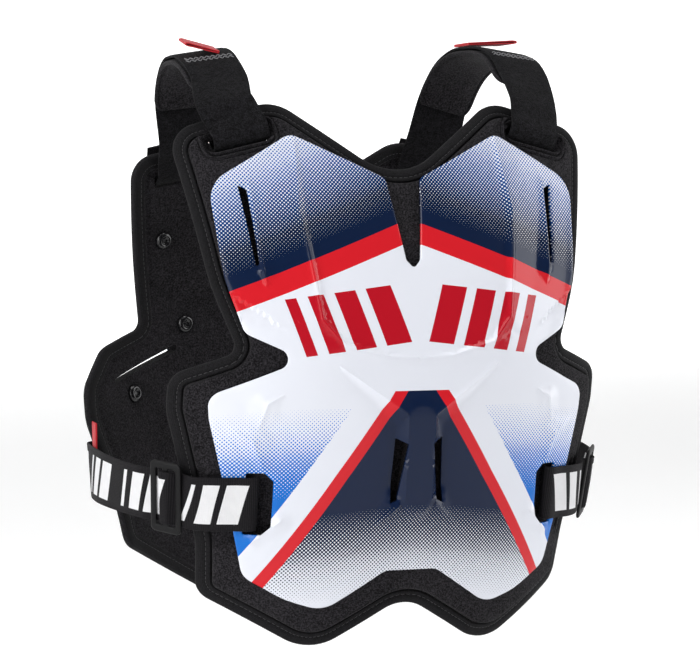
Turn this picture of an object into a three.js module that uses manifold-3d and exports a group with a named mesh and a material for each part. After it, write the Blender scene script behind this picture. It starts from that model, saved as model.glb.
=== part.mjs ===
// A roost deflector: the light chest and back protector that off-road riders wear over the shoulders.
// A foam pad carries a ribbed plastic shell at the front, and another pair sits at the back. Two padded
// shoulder straps and two elastic waist straps with slide buckles join front and back.
// Millimetres, +Z up, the chest faces -Y and the rider's left side is +X. The origin lies midway between
// the shoulder straps, under their crest, where the protector hangs on its wearer.
import * as THREE from "three";
import { mergeVertices } from "three/addons/utils/BufferGeometryUtils.js";
import Module from "manifold-3d";

const wasm = await Module();
wasm.setup();
const { Manifold, Mesh: SolidMesh } = wasm;

// Torso form. The chest surface is measured from its most forward point at the waist line, z = 0.
const TORSO_DEPTH = 278; // from the chest surface to the back surface
const WRAP_REACH = 170; // sideways distance at which the three wraps below are measured
const WRAP_POWER = 2.7; // how suddenly the sides wrap round
const WRAP_SHOULDER = 26; // how far the side lies behind the middle, at one LEVEL above the waist
const WRAP_WAIST = 49;
const WRAP_HIP = 87; // the same, one LEVEL below the waist
const LEVEL = 200;
const BULGE_HEIGHT = -25; // height of the most forward point
const LEAN_TOP = 53; // how far the chest leans back, one LEVEL above that point
const LEAN_BOTTOM = 27.5;

// Foam pads.
const PAD_THICKNESS = 10;
const FLANGE_THICKNESS = 5;
const FLANGE_WIDTH = 12.5; // from the pad's outline to its thick middle
const BINDING_WIDTH = 4.5;
const BINDING_THICKNESS = 6.4;
const FRONT_PAD = { halfWidth: 174, rise: 182, drop: 225 };
const BACK_PAD = { halfWidth: 195, rise: 153, drop: 206 };

// Plastic shells.
const SHELL_WALL = 2.2;
const FRONT_SHELL = { halfWidth: 147, rise: 154, drop: 190 };
const BACK_SHELL = { halfWidth: 158, rise: 109, drop: 178 };

// Slots of the shoulder straps in the pads, measured at the middle of the slot's lower edge.
const SLOT_LENGTH = 50;
const SLOT_HEIGHT = 13;
const SLOT_CORNER = 4;
const SLOT_RIM_WIDTH = 2.6;
const SLOT_RIM_RISE = 1.4;
const FRONT_SLOT = { across: 115.5, up: 145.5, fall: 0.24 };
const BACK_SLOT = { across: 99, up: 119, fall: 0.2 };

// Slots of the waist straps in the shells, and the channels below them in the foam.
const WAIST_SLOT_HEIGHT = 45;
const WAIST_SLOT_WIDTH = 19;
const WAIST_SLOT_POINT = 6; // how far the slot's inner side comes to a point
const WAIST_SLOT_CORNER = 1.5;
const WAIST_SLOT_OPENING = 1; // how far the slot's outer side narrows
const FRONT_WAIST = { across: 112.5, up: -111 };
const BACK_WAIST = { across: 112.5, up: -97 };
const CHANNEL_HEIGHT = 54;
const CHANNEL_DROP = 5; // how far the channel's middle lies below the strap's
const CHANNEL_CORNER = 3;
const CHANNEL_LEAD = 2; // how far the channel starts inside the slot

// Vents of the front shell, and the slit of the back pad.
const CHEST_VENT = { across: 117, up: 88, height: 58, top: 5.2, bottom: 1.8, slant: 6 };
const BELLY_VENT = { across: 16, up: -88, height: 48, top: 8.5, bottom: 5, slant: -4 };
const FRONT_VENTS = [CHEST_VENT, BELLY_VENT];
const SLIT = { across: 130, up: -23, length: 66, height: 4.6, fall: 0.38 };
const SLIT_CORNER = 1.5;
const VENT_CORNER = 0.6;

// Straps, with what is on them.
const SHOULDER_STRAP_WIDTH = 42;
const SHOULDER_STRAP_THICKNESS = 2.4;
const WAIST_STRAP_WIDTH = 40;
const WAIST_STRAP_THICKNESS = 1.8;
const CUSHION_WIDTH = 48;
const CUSHION_THICKNESS = 6.5;
const SHOULDER_CREST = 217; // height of the shoulder straps' middle line above the waist
const BUCKLE_HEIGHT = 54;
const BUCKLE_LENGTH = 27;
const BUCKLE_THICKNESS = 2.6;
const BUCKLE_BAR = 4.5;
const BUCKLE_CORNER = 4;
const BUCKLE_WINDOW_CORNER = 1;
const BUCKLE_SIDE_PLAY = 1.5; // from the strap's edge to the end of the buckle's window
const TAB_WIDTH = 40;
const TAB_LENGTH = 22;
const TAB_THICKNESS = 1.5;
const SHOULDER_TABS = { left: { back: 156, roll: 0.03 }, right: { back: 116, roll: 0.26 } };
const TAB_CORNER = 3;
const WAIST_TAB_HEIGHT = 56;
const WAIST_TAB_LENGTH = 9;
const WAIST_TAB_SHIFT = 5; // how far the tab's middle stands above the strap's

// Rivets that hold the pads to the shells.
const RIVET_HEAD_RADIUS = 7.2;
const RIVET_HEAD_HEIGHT = 3.6;
const RIVET_CROWN = { radius: 0.72, height: 0.8 }; // shares, where the dome turns down to its edge
const RIVET_STEM_RADIUS = 3;

const GAP = 0.35; // between pieces that touch
const STRAP_GAP = 0.6; // between a flat strap and the curved piece that it crosses
const BINDING_GAP = 0.7;
const SLACK = 2.4; // extra room behind a bridge, where a flat strap meets a curved pad
const RIVET_STAND = 1.6; // between a rivet's head and the pad
const PAD_CELL = 35; // size of the facets on the pads
const SHELL_CELL = 18;
const ROUND_STEP = 0.6; // radians between points on an outline's corners
const RIVET_SIDES = 8;
const STRAP_STEPS = 46; // stations on a shoulder strap
const WAIST_STEPS = { front: 18, buckle: 22, back: 22 };

// Outlines, from the top centre down one side to the bottom centre. across is a share of the half width,
// up a share of the rise above the waist or of the drop below it, and bend the corner's radius as a
// share of the half width.
const FRONT_PAD_OUTLINE = [
  { corner: "neck", across: 0, up: 0.66, bend: 0.27 },
  { corner: "peak", across: 0.497, up: 1, bend: 0.172 },
  { corner: "shoulder", across: 0.96, up: 0.868, bend: 0.126 },
  { corner: "side", across: 0.845, up: 0.253, bend: 0.86 },
  { corner: "waist", across: 0.744, up: -0.009, bend: 0.052 },
  { corner: "flare top", across: 0.997, up: -0.087, bend: 0.092 },
  { corner: "flare", across: 1, up: -0.2, bend: 0.23 },
  { corner: "hip", across: 0.865, up: -0.631, bend: 0.345 },
  { corner: "hip corner", across: 0.848, up: -0.804, bend: 0.103 },
  { corner: "lobe", across: 0.402, up: -1, bend: 0.218 },
  { corner: "notch", across: 0, up: -0.818, bend: 0.172 },
];
const BACK_PAD_OUTLINE = [
  { corner: "neck", across: 0, up: 0.67, bend: 0.24 },
  { corner: "peak", across: 0.395, up: 1, bend: 0.133 },
  { corner: "shoulder", across: 0.754, up: 0.9, bend: 0.103 },
  { corner: "side", across: 0.708, up: 0.387, bend: 0.77 },
  { corner: "waist", across: 0.672, up: 0.039, bend: 0.046 },
  { corner: "flare top", across: 0.882, up: -0.044, bend: 0.103 },
  { corner: "flare", across: 0.997, up: -0.184, bend: 0.128 },
  { corner: "flare end", across: 1, up: -0.301, bend: 0.154 },
  { corner: "hip", across: 0.856, up: -0.641, bend: 0.308 },
  { corner: "hip corner", across: 0.831, up: -0.767, bend: 0.082 },
  { corner: "lobe", across: 0.359, up: -1, bend: 0.195 },
  { corner: "notch", across: 0, up: -0.811, bend: 0.154 },
];
const FRONT_SHELL_OUTLINE = [
  { corner: "notch tip", across: 0, up: 0.3645, bend: 0.02 },
  { corner: "notch side", across: 0.038, up: 0.406, bend: 0.027 },
  { corner: "notch top", across: 0.092, up: 0.79, bend: 0.041 },
  { corner: "apex", across: 0.551, up: 1, bend: 0.082 },
  { corner: "shoulder", across: 0.973, up: 0.768, bend: 0.163 },
  { corner: "side", across: 0.932, up: 0.335, bend: 0.816 },
  { corner: "waist top", across: 0.844, up: 0.077, bend: 0.068 },
  { corner: "waist tip", across: 0.578, up: -0.037, bend: 0.051 },
  { corner: "flare top", across: 1, up: -0.174, bend: 0.109 },
  { corner: "flare", across: 0.99, up: -0.263, bend: 0.272 },
  { corner: "hip", across: 0.806, up: -0.868, bend: 0.102 },
  { corner: "lobe side", across: 0.612, up: -0.958, bend: 0.408 },
  { corner: "lobe", across: 0.435, up: -1, bend: 0.15 },
  { corner: "bottom", across: 0.136, up: -0.85, bend: 0.082 },
];
const BACK_SHELL_OUTLINE = [
  { corner: "neck", across: 0, up: 0.672, bend: 0.19 },
  { corner: "apex", across: 0.443, up: 1, bend: 0.101 },
  { corner: "shoulder", across: 0.797, up: 0.74, bend: 0.127 },
  { corner: "side", across: 0.747, up: 0.4, bend: 0.76 },
  { corner: "waist top", across: 0.709, up: 0.11, bend: 0.076 },
  { corner: "waist tip", across: 0.582, up: -0.112, bend: 0.057 },
  { corner: "flare top", across: 1, up: -0.292, bend: 0.114 },
  { corner: "flare", across: 0.987, up: -0.4, bend: 0.19 },
  { corner: "hip", across: 0.823, up: -0.82, bend: 0.114 },
  { corner: "lobe", across: 0.418, up: -1, bend: 0.152 },
  { corner: "notch", across: 0, up: -0.803, bend: 0.152 },
];

// Ridges moulded in the front shell, on one side. x and z are shares of the shell's half width and of
// its rise or drop, as in the outlines, rise is the height above the shell in millimetres at each end,
// flat is half the width of the ridge's flat top, and inner and outer are the slopes of the flanks
// towards the middle and away from it.
const FRONT_RIDGES = [
  { x0: 0.54, z0: 0.97, rise0: 1, x1: 0.565, z1: 0.63, rise1: 4.5, flat: 1, inner: 0.3, outer: 0.2 },
  { x0: 0.565, z0: 0.63, rise0: 4.5, x1: 0.483, z1: 0.13, rise1: 6.5, flat: 1, inner: 0.3, outer: 0.16 },
  { x0: 0.483, z0: 0.13, rise0: 6.5, x1: 0.4, z1: 0.03, rise1: 7.5, flat: 1, inner: 0.3, outer: 0.2 },
  { x0: 0.4, z0: 0.03, rise0: 7.5, x1: 0, z1: -0.032, rise1: 6, flat: 1, inner: 0.4, outer: 0.12 },
  { x0: 0.4, z0: -0.058, rise0: 6, x1: 0.08, z1: -0.247, rise1: 7, flat: 1, inner: 0.16, outer: 0.34 },
  { x0: 0, z0: -0.26, rise0: 7, x1: 0, z1: -0.58, rise1: 5, flat: 11, inner: 0.36, outer: 0.36 },
  { x0: 0.1, z0: -0.6, rise0: 4.5, x1: 0.23, z1: -0.69, rise1: 0.5, flat: 1, inner: 0.3, outer: 0.3 },
  { x0: 0.775, z0: 0.76, rise0: 0.5, x1: 0.74, z1: 0.39, rise1: 4.5, flat: 0, inner: 0.22, outer: 0.8 },
  { x0: 0.74, z0: 0.39, rise0: 4.5, x1: 0.725, z1: 0.235, rise1: 0.5, flat: 0, inner: 0.22, outer: 0.5 },
  { x0: 0.585, z0: -0.125, rise0: 1, x1: 0.735, z1: -0.2, rise1: 3.5, flat: 0, inner: 0.2, outer: 0.25 },
  { x0: 0.735, z0: -0.2, rise0: 3.5, x1: 0.77, z1: -0.285, rise1: 1, flat: 0, inner: 0.2, outer: 0.3 },
];
const BACK_RIDGES = [
  { x0: 0, z0: 0.6, rise0: 1.5, x1: 0, z1: -0.7, rise1: 5, flat: 6, inner: 0.14, outer: 0.14 },
  { x0: 0.44, z0: 0.85, rise0: 1, x1: 0.52, z1: 0.05, rise1: 4.5, flat: 1, inner: 0.2, outer: 0.16 },
  { x0: 0.52, z0: 0.05, rise0: 4.5, x1: 0.36, z1: -0.85, rise1: 1, flat: 1, inner: 0.2, outer: 0.14 },
];

// Rivets on one side, as shares of the shell's half width and of its rise or drop.
const FRONT_RIVETS = [
  { name: "shoulder", across: 0.667, up: 0.455 },
  { name: "waist", across: 0.544, up: -0.01 },
  { name: "hip", across: 0.852, up: -0.278 },
];
const BACK_RIVETS = [
  { name: "shoulder", across: 0.716, up: 0.692 },
  { name: "waist", across: 0.567, up: 0.076 },
  { name: "hip", across: 0.902, up: -0.255 },
];

// Where the shoulder strap passes over the shoulder: its middle's distance across and back, its height
// being SHOULDER_CREST, and the radians by which its outer edge falls.
const CREST = { across: 121, back: 144, tilt: 0.15 };

// The shoulder strap's way over the shoulder, measured from the crest: across as a share of the crest's
// distance across, back as a share of the torso's depth, and below as a share of the crest's height.
const SHOULDER_ARCH = [
  { across: 0.012, back: -0.216, below: 0.088 },
  { across: 0.012, back: -0.151, below: 0.03 },
  { across: 0.008, back: -0.072, below: 0.005 },
  { across: 0, back: 0, below: 0 },
  { across: -0.025, back: 0.086, below: 0.009 },
  { across: -0.058, back: 0.173, below: 0.06 },
  { across: -0.099, back: 0.234, below: 0.157 },
];

// How a shoulder strap turns through its slot: along is a share of the slot's height, upwards from its
// middle, and layer runs from 0, behind the pad, to 1, in front of it.
const SLOT_TURN = [
  { along: 1.23, layer: -0.036 },
  { along: 0.385, layer: 0 },
  { along: 0.04, layer: 0.256 },
  { along: 0, layer: 0.512 },
  { along: 0.04, layer: 0.756 },
  { along: 0.385, layer: 1 },
  { along: 1.23, layer: 1 },
];
const FRONT_TAIL = { along: 2, layer: -0.09 };
const FRONT_RISE = { along: 2, layer: 1.06 };
const BACK_FALL = { along: 2.6, layer: -0.15 };
const BACK_TAIL = { along: 2.3, layer: 0.94 };

// How a waist strap turns through the shell's slot: out is a share of the slot's width, outwards from its
// middle, and layer runs from 0, in the foam's channel, to 1, over the shell.
const WAIST_TURN = [
  { out: 1.53, layer: 0 },
  { out: 0.63, layer: 0 },
  { out: 0.21, layer: 0 },
  { out: 0.03, layer: 0.5 },
  { out: 0.21, layer: 1 },
  { out: 0.74, layer: 1 },
];
const WAIST_FRONT_RUN = [
  { out: 1.32, layer: 1.15 },
  { out: 2, layer: 1 },
];
const WAIST_BACK_RUN = [
  { out: 3.47, layer: 1 },
  { out: 2.47, layer: 1 },
  { out: 1.58, layer: 1 },
];

// The waist strap's way round the rider's side: across as a share of the pads' half width, which passes
// from the front pad's to the back pad's along the way, and back as a share of the torso's depth.
const SIDE_SWEEP = [
  { across: 0.9609, back: 0.2446 },
  { across: 1.0205, back: 0.3345 },
  { across: 1.0382, back: 0.446 },
  { across: 1.019, back: 0.561 },
];
const BUCKLE_AT = { share: 0.4, reach: 0.05 }; // place and half length on the waist strap's route
const WAIST_TAB_SHARE = 0.57; // its place on the waist strap's route
const BUCKLE_WAVE = { crest: 1.6, fade: 2.3, rest: 1.4 }; // how the strap weaves through the buckle

const material = (color, roughness, metalness = 0) =>
  new THREE.MeshStandardMaterial({ color, roughness, metalness });
const FOAM = material(0x1b1a1c, 0.92);
const BINDING = material(0x131314, 0.85);
const FRONT_PLASTIC = material(0xe8eaf0, 0.18);
const BACK_PLASTIC = material(0x0f1e42, 0.2);
const LOOP_WEBBING = material(0x0e0e10, 0.95);
const ELASTIC = material(0x29272b, 0.8);
const BLACK_PLASTIC = material(0x0b0b0c, 0.4);
const RED_TAB = material(0xc8202a, 0.6);

// The chest surface: how far back it lies at a distance across and a height.
function chestDepth(across, up) {
  const level = up / LEVEL;
  const bend = (WRAP_SHOULDER + WRAP_HIP) / 2 - WRAP_WAIST;
  const wrap = WRAP_WAIST + ((WRAP_SHOULDER - WRAP_HIP) / 2) * level + bend * level ** 2;
  const lean = (up > BULGE_HEIGHT ? LEAN_TOP : LEAN_BOTTOM) * ((up - BULGE_HEIGHT) / LEVEL) ** 2;
  return wrap * (Math.abs(across) / WRAP_REACH) ** WRAP_POWER + lean;
}

// The chest surface's outward direction.
function chestNormal(across, up) {
  const step = 0.05;
  const slopeAcross = (chestDepth(across + step, up) - chestDepth(across - step, up)) / (2 * step);
  const slopeUp = (chestDepth(across, up + step) - chestDepth(across, up - step)) / (2 * step);
  return new THREE.Vector3(slopeAcross, -1, slopeUp).normalize();
}

// A point at a height above the chest surface, which is the foam's outer face.
function chestPoint(across, up, offset = 0) {
  const base = new THREE.Vector3(across, chestDepth(across, up), up);
  return base.addScaledVector(chestNormal(across, up), offset);
}

// The back has the chest's form, turned to face the other way.
const toBack = (point) => new THREE.Vector3(point.x, TORSO_DEPTH - point.y, point.z);
const backPoint = (across, up, offset = 0) => toBack(chestPoint(across, up, offset));

// An outline table's corners in millimetres, all the way round.
function cornersOf(outline, { halfWidth, rise, drop }) {
  const side = outline.map(({ across, up, bend }) => ({
    at: new THREE.Vector2(across * halfWidth, up * (up > 0 ? rise : drop)),
    radius: bend * halfWidth,
  }));
  const other = side
    .filter(({ at }) => at.x > 0)
    .reverse()
    .map(({ at, radius }) => ({ at: new THREE.Vector2(-at.x, at.y), radius }));
  return [...side, ...other];
}

// The same corners with each edge moved inwards, as a hem or a step follows an outline.
function insetCorners(corners, distance) {
  const count = corners.length;
  const edge = (i) => {
    const from = corners[(i + count) % count].at;
    const along = corners[(i + 1 + count) % count].at.clone().sub(from).normalize();
    const inward = new THREE.Vector2(along.y, -along.x);
    return { from: from.clone().addScaledVector(inward, distance), along };
  };
  return corners.map(({ radius }, i) => {
    const before = edge(i - 1);
    const after = edge(i);
    const turn = before.along.cross(after.along);
    const between = after.from.clone().sub(before.from);
    const at = before.from.clone().addScaledVector(before.along, between.cross(after.along) / turn);
    return { at, radius: Math.max(radius + Math.sign(turn) * distance, distance / 4) };
  });
}

// A closed outline through rounded corners.
function roundedPoints(corners) {
  const count = corners.length;
  return corners.flatMap(({ at, radius }, i) => {
    const before = corners[(i - 1 + count) % count].at.clone().sub(at);
    const after = corners[(i + 1) % count].at.clone().sub(at);
    const lengths = [before.length(), after.length()];
    before.normalize();
    after.normalize();
    const half = Math.acos(THREE.MathUtils.clamp(before.dot(after), -1, 1)) / 2;
    const tangent = Math.min(radius / Math.tan(half), lengths[0] * 0.49, lengths[1] * 0.49);
    const fitted = tangent * Math.tan(half);
    const centre = before.clone().add(after).normalize().multiplyScalar(fitted / Math.sin(half)).add(at);
    const start = before.multiplyScalar(tangent).add(at).sub(centre);
    const turn = Math.PI - 2 * half;
    const sense = -Math.sign(start.cross(after.multiplyScalar(tangent).add(at).sub(centre))) || 1;
    const steps = Math.max(1, Math.round(turn / ROUND_STEP));
    return Array.from({ length: steps + 1 }, (_, k) =>
      start
        .clone()
        .rotateAround(new THREE.Vector2(), (-sense * turn * k) / steps)
        .add(centre),
    );
  });
}

const shapeOf = (corners) => new THREE.Shape(roundedPoints(corners));
const holeOf = (corners) => new THREE.Path(roundedPoints(corners).reverse());

// A geometry as a solid that can be cut and joined.
function toSolid(geometry) {
  const plain = geometry.clone();
  for (const name of ["normal", "uv"]) plain.deleteAttribute(name);
  const merged = mergeVertices(plain, 1e-4);
  return new Manifold(
    new SolidMesh({
      numProp: 3,
      vertProperties: new Float32Array(merged.attributes.position.array),
      triVerts: new Uint32Array(merged.index.array),
    }),
  );
}

// A solid as a geometry.
function toGeometry(solid) {
  const { numProp, numVert, vertProperties, triVerts } = solid.getMesh();
  const position = new Float32Array(numVert * 3);
  for (let i = 0; i < numVert; i++) {
    position.set(vertProperties.subarray(i * numProp, i * numProp + 3), i * 3);
  }
  const geometry = new THREE.BufferGeometry();
  geometry.setAttribute("position", new THREE.BufferAttribute(position, 3));
  geometry.setIndex(new THREE.BufferAttribute(new Uint32Array(triVerts), 1));
  geometry.computeVertexNormals();
  return geometry;
}

// Plates are cut and joined while they are flat, with x and z as they are and -y the height above the
// chest. While flat, heights are stretched and the plates are slightly domed, so that their facets, which
// all follow one grid, keep their places.
const STRETCH = 10;
const DOME_RADIUS = 1000;
const dome = (x, z) => (x * x + z * z) / (2 * DOME_RADIUS);
const REACH = 4 * DOME_RADIUS; // well past every plate

// A flat shape as a prism, between two heights above the chest.
function prism(shape, inner, outer) {
  const height = (outer - inner) * STRETCH;
  const geometry = new THREE.ExtrudeGeometry(shape, { depth: height, steps: 1, bevelEnabled: false });
  return toSolid(geometry.rotateX(Math.PI / 2).translate(0, -inner * STRETCH, 0));
}

// A flat shape as a domed plate of the given facets, between two heights above the chest.
function plate(shape, inner, outer, cell) {
  const box = new THREE.Box2().setFromPoints(shape.getPoints());
  const low = box.min.divideScalar(cell).floor().subScalar(1);
  const count = box.max.divideScalar(cell).ceil().addScalar(1).sub(low);
  const slab = new THREE.BoxGeometry(
    count.x * cell, (outer - inner) * STRETCH, count.y * cell, count.x, 1, count.y);
  const middle = count.clone().divideScalar(2).add(low).multiplyScalar(cell);
  slab.translate(middle.x, (-(outer + inner) / 2) * STRETCH, middle.y);
  const points = slab.attributes.position;
  for (let i = 0; i < points.count; i++) {
    points.setY(i, points.getY(i) + dome(points.getX(i), points.getZ(i)));
  }
  return toSolid(slab).intersect(prism(shape, -REACH / STRETCH, REACH / STRETCH));
}

// A flat plate carried to the chest, or to a relief that stands above it.
function carried(flat, rise = () => 0) {
  const geometry = toGeometry(flat);
  const points = geometry.attributes.position;
  for (let i = 0; i < points.count; i++) {
    const x = points.getX(i);
    const z = points.getZ(i);
    const offset = (dome(x, z) - points.getY(i)) / STRETCH;
    const to = chestPoint(x, z, offset + rise(x, z));
    points.setXYZ(i, to.x, to.y, to.z);
  }
  geometry.computeVertexNormals();
  return geometry;
}

// The place of a table's row on one side of the body.
const placeOf = ({ across, up }, { halfWidth, rise, drop }) => ({
  across: across * halfWidth,
  up: up * (up > 0 ? rise : drop),
});

// How far a shell's ridges stand above it at a place.
function ridgeRise(ridges, size) {
  const lines = ridges.map((ridge) => {
    const from = placeOf({ across: ridge.x0, up: ridge.z0 }, size);
    const to = placeOf({ across: ridge.x1, up: ridge.z1 }, size);
    const along = new THREE.Vector2(to.across - from.across, to.up - from.up);
    return { ...ridge, from: new THREE.Vector2(from.across, from.up), along };
  });
  return (x, z) => {
    const place = new THREE.Vector2(Math.abs(x), z);
    return lines.reduce((highest, { from, along, rise0, rise1, flat, inner, outer }) => {
      const reach = place.clone().sub(from);
      const share = THREE.MathUtils.clamp(reach.dot(along) / along.lengthSq(), 0, 1);
      const away = Math.max(reach.clone().addScaledVector(along, -share).length() - flat, 0);
      const slope = along.cross(reach) < 0 ? inner : outer;
      return Math.max(highest, THREE.MathUtils.lerp(rise0, rise1, share) - away * slope);
    }, 0);
  };
}

// A slanted slot: its lower edge's middle is at the given place, and it falls outwards.
function strapSlot({ across, up, fall }, side, grow = 0) {
  const half = SLOT_LENGTH / 2 + grow;
  const corner = (s, t) => ({
    at: new THREE.Vector2(side * (across + s + t * fall), up - s * fall + t),
    radius: SLOT_CORNER + grow,
  });
  const top = SLOT_HEIGHT + grow;
  return [corner(-half, top), corner(half, top), corner(half, -grow), corner(-half, -grow)];
}

// A six-sided slot for a waist strap.
function waistSlot({ across, up }, side) {
  const halfWidth = WAIST_SLOT_WIDTH / 2;
  const halfHeight = WAIST_SLOT_HEIGHT / 2;
  const rows = [
    [halfWidth - WAIST_SLOT_OPENING, halfHeight],
    [-halfWidth + WAIST_SLOT_POINT, halfHeight],
    [-halfWidth, halfHeight - WAIST_SLOT_POINT],
    [-halfWidth, WAIST_SLOT_POINT - halfHeight],
    [-halfWidth + WAIST_SLOT_POINT, -halfHeight],
    [halfWidth - WAIST_SLOT_OPENING, -halfHeight],
  ];
  return rows.map(([s, t]) => ({
    at: new THREE.Vector2(side * (across + s), up + t),
    radius: WAIST_SLOT_CORNER,
  }));
}

// A tapered vent, wider at its top, which slants as it falls.
function ventCorners({ across, up, height, top, bottom, slant }, side) {
  const rows = [
    [slant / 2 - top / 2, height / 2 - top / 2],
    [slant / 2 + top / 2, height / 2],
    [-slant / 2 + bottom / 2, -height / 2],
    [-slant / 2 - bottom / 2, -height / 2 + bottom / 2],
  ];
  return rows.map(([s, t]) => ({
    at: new THREE.Vector2(side * (across + s), up + t),
    radius: VENT_CORNER,
  }));
}

// The slit beside the back pad's waist.
function slitCorners(side) {
  const { across, up, length, height, fall } = SLIT;
  const corner = (s, t) => ({
    at: new THREE.Vector2(side * (across + s), up - s * fall + t),
    radius: SLIT_CORNER,
  });
  return [
    corner(-length / 2, height / 2),
    corner(length / 2, height / 2),
    corner(length / 2, -height / 2),
    corner(-length / 2, -height / 2),
  ];
}

// A tool that cuts right through a flat pad or shell.
const cutter = (shape) => prism(shape, -REACH / STRETCH, REACH / STRETCH);
const SIDES = [-1, 1];

function rivetHole(place, side) {
  const circle = new THREE.Shape();
  circle.absarc(side * place.across, place.up, RIVET_STEM_RADIUS + 2 * GAP, 0, 2 * Math.PI, false);
  return cutter(new THREE.Shape(circle.getPoints(RIVET_SIDES / 2).slice(0, RIVET_SIDES)));
}

// The channel in the foam for a waist strap, which runs out past the pad's side.
function channelShape(size, waist, side) {
  const inside = side * (waist.across - WAIST_SLOT_WIDTH / 2 - CHANNEL_LEAD);
  const outside = side * (size.halfWidth + FLANGE_WIDTH);
  const middle = waist.up - CHANNEL_DROP;
  const corners = [
    [inside, middle + CHANNEL_HEIGHT / 2],
    [outside, middle + CHANNEL_HEIGHT / 2],
    [outside, middle - CHANNEL_HEIGHT / 2],
    [inside, middle - CHANNEL_HEIGHT / 2],
  ];
  return shapeOf(corners.map(([x, z]) => ({ at: new THREE.Vector2(x, z), radius: CHANNEL_CORNER })));
}

// A foam pad: a thin flange all round, a thick middle, a raised rim round each strap slot, a channel
// for each waist strap, and holes for the rivets.
function padGeometry(outline, size, slot, waist, rivets, shellSize, slits) {
  const corners = cornersOf(outline, size);
  const flangeTop = FLANGE_THICKNESS - PAD_THICKNESS;
  const core = flangeTop - FLANGE_THICKNESS / 2; // the thick middle is rooted halfway into the flange
  const flangeShape = shapeOf(insetCorners(corners, BINDING_WIDTH + BINDING_GAP));
  let middle = plate(shapeOf(insetCorners(corners, FLANGE_WIDTH)), core, 0, PAD_CELL);
  for (const side of SIDES) {
    middle = middle.add(plate(shapeOf(strapSlot(slot, side, SLOT_RIM_WIDTH)), core, SLOT_RIM_RISE, PAD_CELL));
    middle = middle.subtract(cutter(channelShape(size, waist, side)));
  }
  let pad = plate(flangeShape, -PAD_THICKNESS, flangeTop, PAD_CELL).add(middle);
  for (const side of SIDES) {
    pad = pad.subtract(cutter(shapeOf(strapSlot(slot, side))));
    for (const rivet of rivets) pad = pad.subtract(rivetHole(placeOf(rivet, shellSize), side));
    if (slits) pad = pad.subtract(cutter(shapeOf(slitCorners(side))));
  }
  return carried(pad);
}

// The binding round a pad's edge.
function bindingGeometry(outline, size) {
  const corners = cornersOf(outline, size);
  const ring = shapeOf(corners);
  ring.holes.push(holeOf(insetCorners(corners, BINDING_WIDTH)));
  const middle = FLANGE_THICKNESS / 2 - PAD_THICKNESS;
  return carried(plate(ring, middle - BINDING_THICKNESS / 2, middle + BINDING_THICKNESS / 2, PAD_CELL));
}

// A ribbed shell of even wall, with its slots and vents.
function shellGeometry(outline, size, ridges, waist, vents) {
  let shell = plate(shapeOf(cornersOf(outline, size)), GAP, GAP + SHELL_WALL, SHELL_CELL);
  for (const side of SIDES) {
    shell = shell.subtract(cutter(shapeOf(waistSlot(waist, side))));
    for (const vent of vents) shell = shell.subtract(cutter(shapeOf(ventCorners(vent, side))));
  }
  return carried(shell, ridgeRise(ridges, size));
}

// A rivet with a domed head on the inside of the pad and a stem through it. It points along +Z.
function rivetGeometry() {
  const profile = [
    [0, -RIVET_HEAD_HEIGHT],
    [RIVET_HEAD_RADIUS * RIVET_CROWN.radius, -RIVET_HEAD_HEIGHT * RIVET_CROWN.height],
    [RIVET_HEAD_RADIUS, 0],
    [RIVET_STEM_RADIUS, 0],
    [RIVET_STEM_RADIUS, PAD_THICKNESS],
    [0, PAD_THICKNESS],
  ].map(([radius, along]) => new THREE.Vector2(radius, along));
  return new THREE.LatheGeometry(profile, RIVET_SIDES).rotateX(Math.PI / 2);
}

// A band swept through stations. Each station has a place, the direction across the band, and its width
// and thickness there.
function bandGeometry(stations) {
  const count = stations.length;
  const section = [
    [-0.5, -0.5],
    [-0.5, 0.5],
    [0.5, 0.5],
    [0.5, -0.5],
  ];
  const position = stations.flatMap(({ at, wide, width, thickness }, i) => {
    const before = stations[Math.max(i - 1, 0)].at;
    const after = stations[Math.min(i + 1, count - 1)].at;
    const along = after.clone().sub(before).normalize();
    const across = wide.clone().addScaledVector(along, -wide.dot(along)).normalize();
    const out = new THREE.Vector3().crossVectors(across, along);
    return section.flatMap(([s, t]) =>
      at.clone().addScaledVector(across, s * width).addScaledVector(out, t * thickness).toArray());
  });
  const sides = section.length;
  const index = [0, 2, 1, 0, 3, 2];
  for (let i = 0; i + 1 < count; i++) {
    for (let k = 0; k < sides; k++) {
      const a = i * sides + k;
      const b = i * sides + ((k + 1) % sides);
      index.push(a, b, a + sides, b, b + sides, a + sides);
    }
  }
  const last = (count - 1) * sides;
  index.push(last, last + 1, last + 2, last, last + 2, last + 3);
  const geometry = new THREE.BufferGeometry();
  geometry.setAttribute("position", new THREE.Float32BufferAttribute(position, 3));
  geometry.setIndex(index);
  geometry.computeVertexNormals();
  return geometry;
}

// Stations along a smooth route through chosen points, each with its direction across, at shares of the
// route.
function routeStations(route, shares, width, thickness) {
  const places = new THREE.CatmullRomCurve3(route.map(({ at }) => at), false, "centripetal");
  return shares.map((share) => {
    const run = share * (route.length - 1);
    const from = Math.min(Math.floor(run), route.length - 2);
    const wide = route[from].wide.clone().lerp(route[from + 1].wide, run - from).normalize();
    return { at: places.getPoint(share), wide, width, thickness };
  });
}
const evenShares = (steps, first = 0, last = 1) =>
  Array.from({ length: steps + 1 }, (_, i) => THREE.MathUtils.lerp(first, last, i / steps));

// The directions at a strap slot: along the slot, up the pad, and out of it, at the slot's middle.
function slotFrame({ across, up, fall }, point) {
  const lift = up + SLOT_HEIGHT / 2;
  const at = point(across, lift);
  const out = point(across, lift, 1).sub(at).normalize();
  const wide = point(across + 1, lift - fall).sub(at).normalize();
  const rise = new THREE.Vector3().crossVectors(wide, out).normalize();
  if (rise.z < 0) rise.negate();
  return (along, offset) => ({
    at: at.clone().addScaledVector(rise, along).addScaledVector(out, offset),
    wide,
  });
}

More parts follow.
